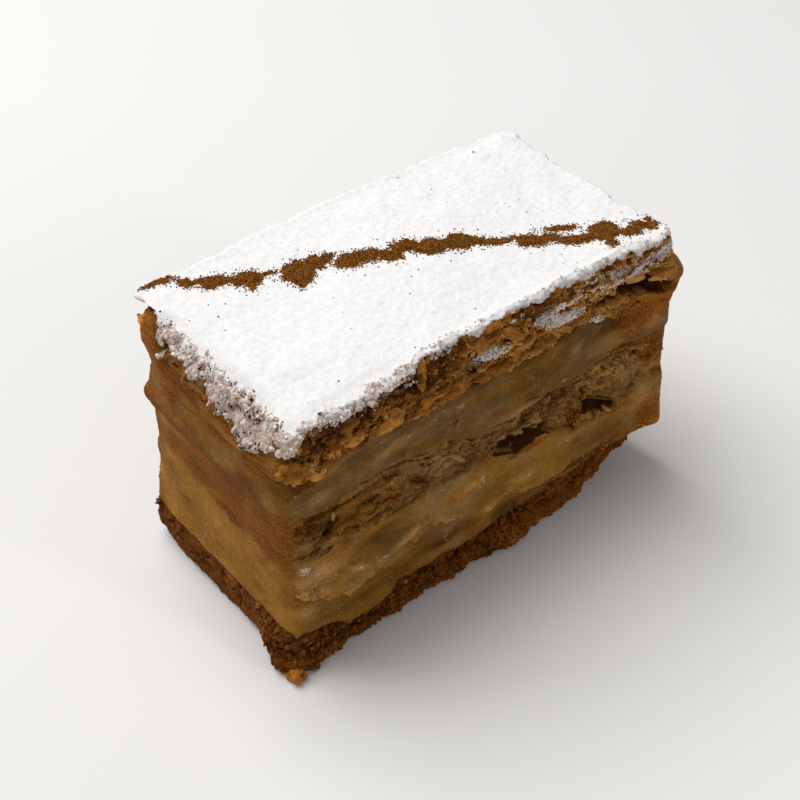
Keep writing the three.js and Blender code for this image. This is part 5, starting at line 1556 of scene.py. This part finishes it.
def strew_sugar(points, normals, loose):
    """Grains and clumps on the sugar's rim, crumbs caught in it, and grains of cinnamon along the line.

    All are drawn in turn from one random generator: their places in proportion to a weight, then their radii.
    """
    draw_seed, patch_seed = 308, 334
    random = np.random.default_rng(draw_seed)

    def drawn(name, weight, spread=(0.7, 1.3)):
        """Points picked by weight for one kind of grain, and three radii for each, no two alike."""
        count, least, most, seed = GRAINS[name]
        picked = random.choice(len(points), count, p=weight / weight.sum())
        radii = random.uniform(least, most, (count, 1)) * random.uniform(*spread, (count, 3))
        return picked, radii, count, seed

    picked, radii, count, seed = drawn("sugar_grains", loose)
    centres = points[picked] + random.normal(0, 0.07, (count, 3))
    # Painted shade: grains low on the roll at the left end are darker.
    drape_shade = 0.5 * smooth((-44 - centres[:, 0]) / 3) * smooth((64 - centres[:, 2]) / 3)
    tone = np.clip(random.uniform(0, 1, count) - drape_shade, 0, 1)
    grains("sugar_grains", centres, radii, sugar_grain_finish, seed, tone, 5, 2)

    x, y, z = points.T
    clumped = loose * mix(0.25 * smooth((-16 - x) / 8), 1, smooth((-43 - x) / 3)) * (y < 16)
    picked, radii, count, seed = drawn("sugar_clumps", clumped)
    centres = points[picked] - 0.35 * radii[:, :1] * normals[picked]
    # Painted shade: clumps lower down are darker.
    tone = random.uniform(0.1, 0.95, count) * (0.4 + 0.6 * smooth((centres[:, 2] - 55) / 8))
    grains("sugar_clumps", centres, radii, sugar_grain_finish, seed, tone, 10, 7)

    patchy = smooth(1.5 * uneven(x / 3, y / 3, z / 3, 2, patch_seed) - 0.1) + 1.5 * smooth((58 - z) / 3)
    picked, radii, count, seed = drawn("rim_crumbs", clumped * patchy, (0.6, 1.4))
    centres = points[picked] - 0.05 * normals[picked]
    tone = random.uniform(0, 0.6, count)
    grains("rim_crumbs", centres, radii, crust_crumb_finish, seed, tone, 7, 4)

    inside = cinnamon_at(x, y)
    weight = (np.where(inside > 0, 0.5, np.exp(2.6 * inside)) + 0.0008) * (normals[:, 2] > 0.5)
    picked, radii, count, seed = drawn("cinnamon_grains", weight)
    centres = points[picked] + random.uniform(-0.2, 0.2, (count, 3)) * (1, 1, 0) + (0, 0, 0.04)
    grains("cinnamon_grains", centres, radii, spice_finish, seed, None, 5, 2)


crust_finish = food_finish("top_crust", CRUST_COLOURS, PAINTED_PIT_SHADE, (0.50, 0.23, 0.05))
soaked_finish = food_finish("soaked_pastry", SOAKED_COLOURS, PAINTED_PIT_SHADE, (0.40, 0.22, 0.06))
base_finish = food_finish("dark_base", BASE_COLOURS, BASE_PAINTED_PIT_SHADE, (0.20, 0.065, 0.010))
custard_finish = food_finish("set_custard", SOAKED_COLOURS, PAINTED_PIT_SHADE, (0.4, 0.22, 0.06))
flake_finish = crumb_finish("golden_flake", FLAKE_COLOURS, (0.60, 0.32, 0.08))
soaked_flake_finish = crumb_finish("soaked_flake", SOAKED_FLAKES, (0.38, 0.21, 0.065))
crust_crumb_finish = crumb_finish("crust_crumb", CRUMB_COLOURS)
soaked_crumb_finish = crumb_finish("soaked_crumb", SOAKED_CRUMBS)
base_crumb_finish = crumb_finish("base_crumb", BASE_CRUMBS)
sugar_grain_finish = crumb_finish("sugar_grain", SUGAR_GRAINS)
spice_finish = crumb_finish("cinnamon_grain", SPICE_GRAINS)

base_wall = side_mesh("bottom_pastry", base_side(), base_finish)
# Both custards are darkened with painted shade, the thin one under the crust much more.
thick_custard = custard_side(
    BASE_TOP, LOWER_TOP, rows=84, lip=LOWER_LIP, step=2.1, bulge=1.7,
    foot=np.where(NX > 0, END["right"], END["left"]), seed=51, swells=CUSTARD_SWELLS, painted_depth_shade=0.0, painted_band_shade=0.05,
)
custard_wall = side_mesh("lower_custard", thick_custard, custard_finish)
middle_wall = side_mesh("middle_pastry", middle_side(), soaked_finish)
thin_custard = custard_side(
    MIDDLE_TOP, UPPER_TOP, rows=44, lip=38.0, step=0.0, bulge=0.9,
    foot=1.0, seed=55, swells=UPPER_SWELLS, painted_depth_shade=mix(0.3, 0.16, TORN), painted_band_shade=0.32,
)
upper_wall = side_mesh("upper_custard", thin_custard, custard_finish)
crust_wall = side_mesh("top_pastry", crust_side(), crust_finish)
sugar_surface = sugar_piece(sugar_finish())

baked = (crust_wall, flake_finish, "baked_crust")
front_flakes("front_crust_flakes", CRUST_FLAKES, *baked, seed=301)
front_lumps("front_crust_lumps", CRUST_LUMPS, *baked, seed=330)
soaked_wall = [np.vstack(rows) for rows in zip(custard_wall, middle_wall, upper_wall)]
soaked = (soaked_wall, soaked_flake_finish, "soaked_pastry")
front_flakes("front_middle_flakes", MIDDLE_FLAKES, *soaked, seed=302)
front_lumps("front_middle_lumps", MIDDLE_LUMPS, *soaked, seed=331)
strew_crust(crust_wall)
strew_middle(middle_wall)
strew_base(base_wall)
strew_custard(custard_wall)
chip_places, chip_radii, chip_tones = np.split(np.array(CHIP), (3, 6), axis=1)
grains(
    "corner_chip", chip_places, chip_radii, flake_finish, seed=326, tone=chip_tones[:, 0],
    around=16, levels=11,
)
strew_fallen_sugar(crust_wall)
strew_sugar(*sugar_surface)

add_floor()
add_studio()
add_camera()
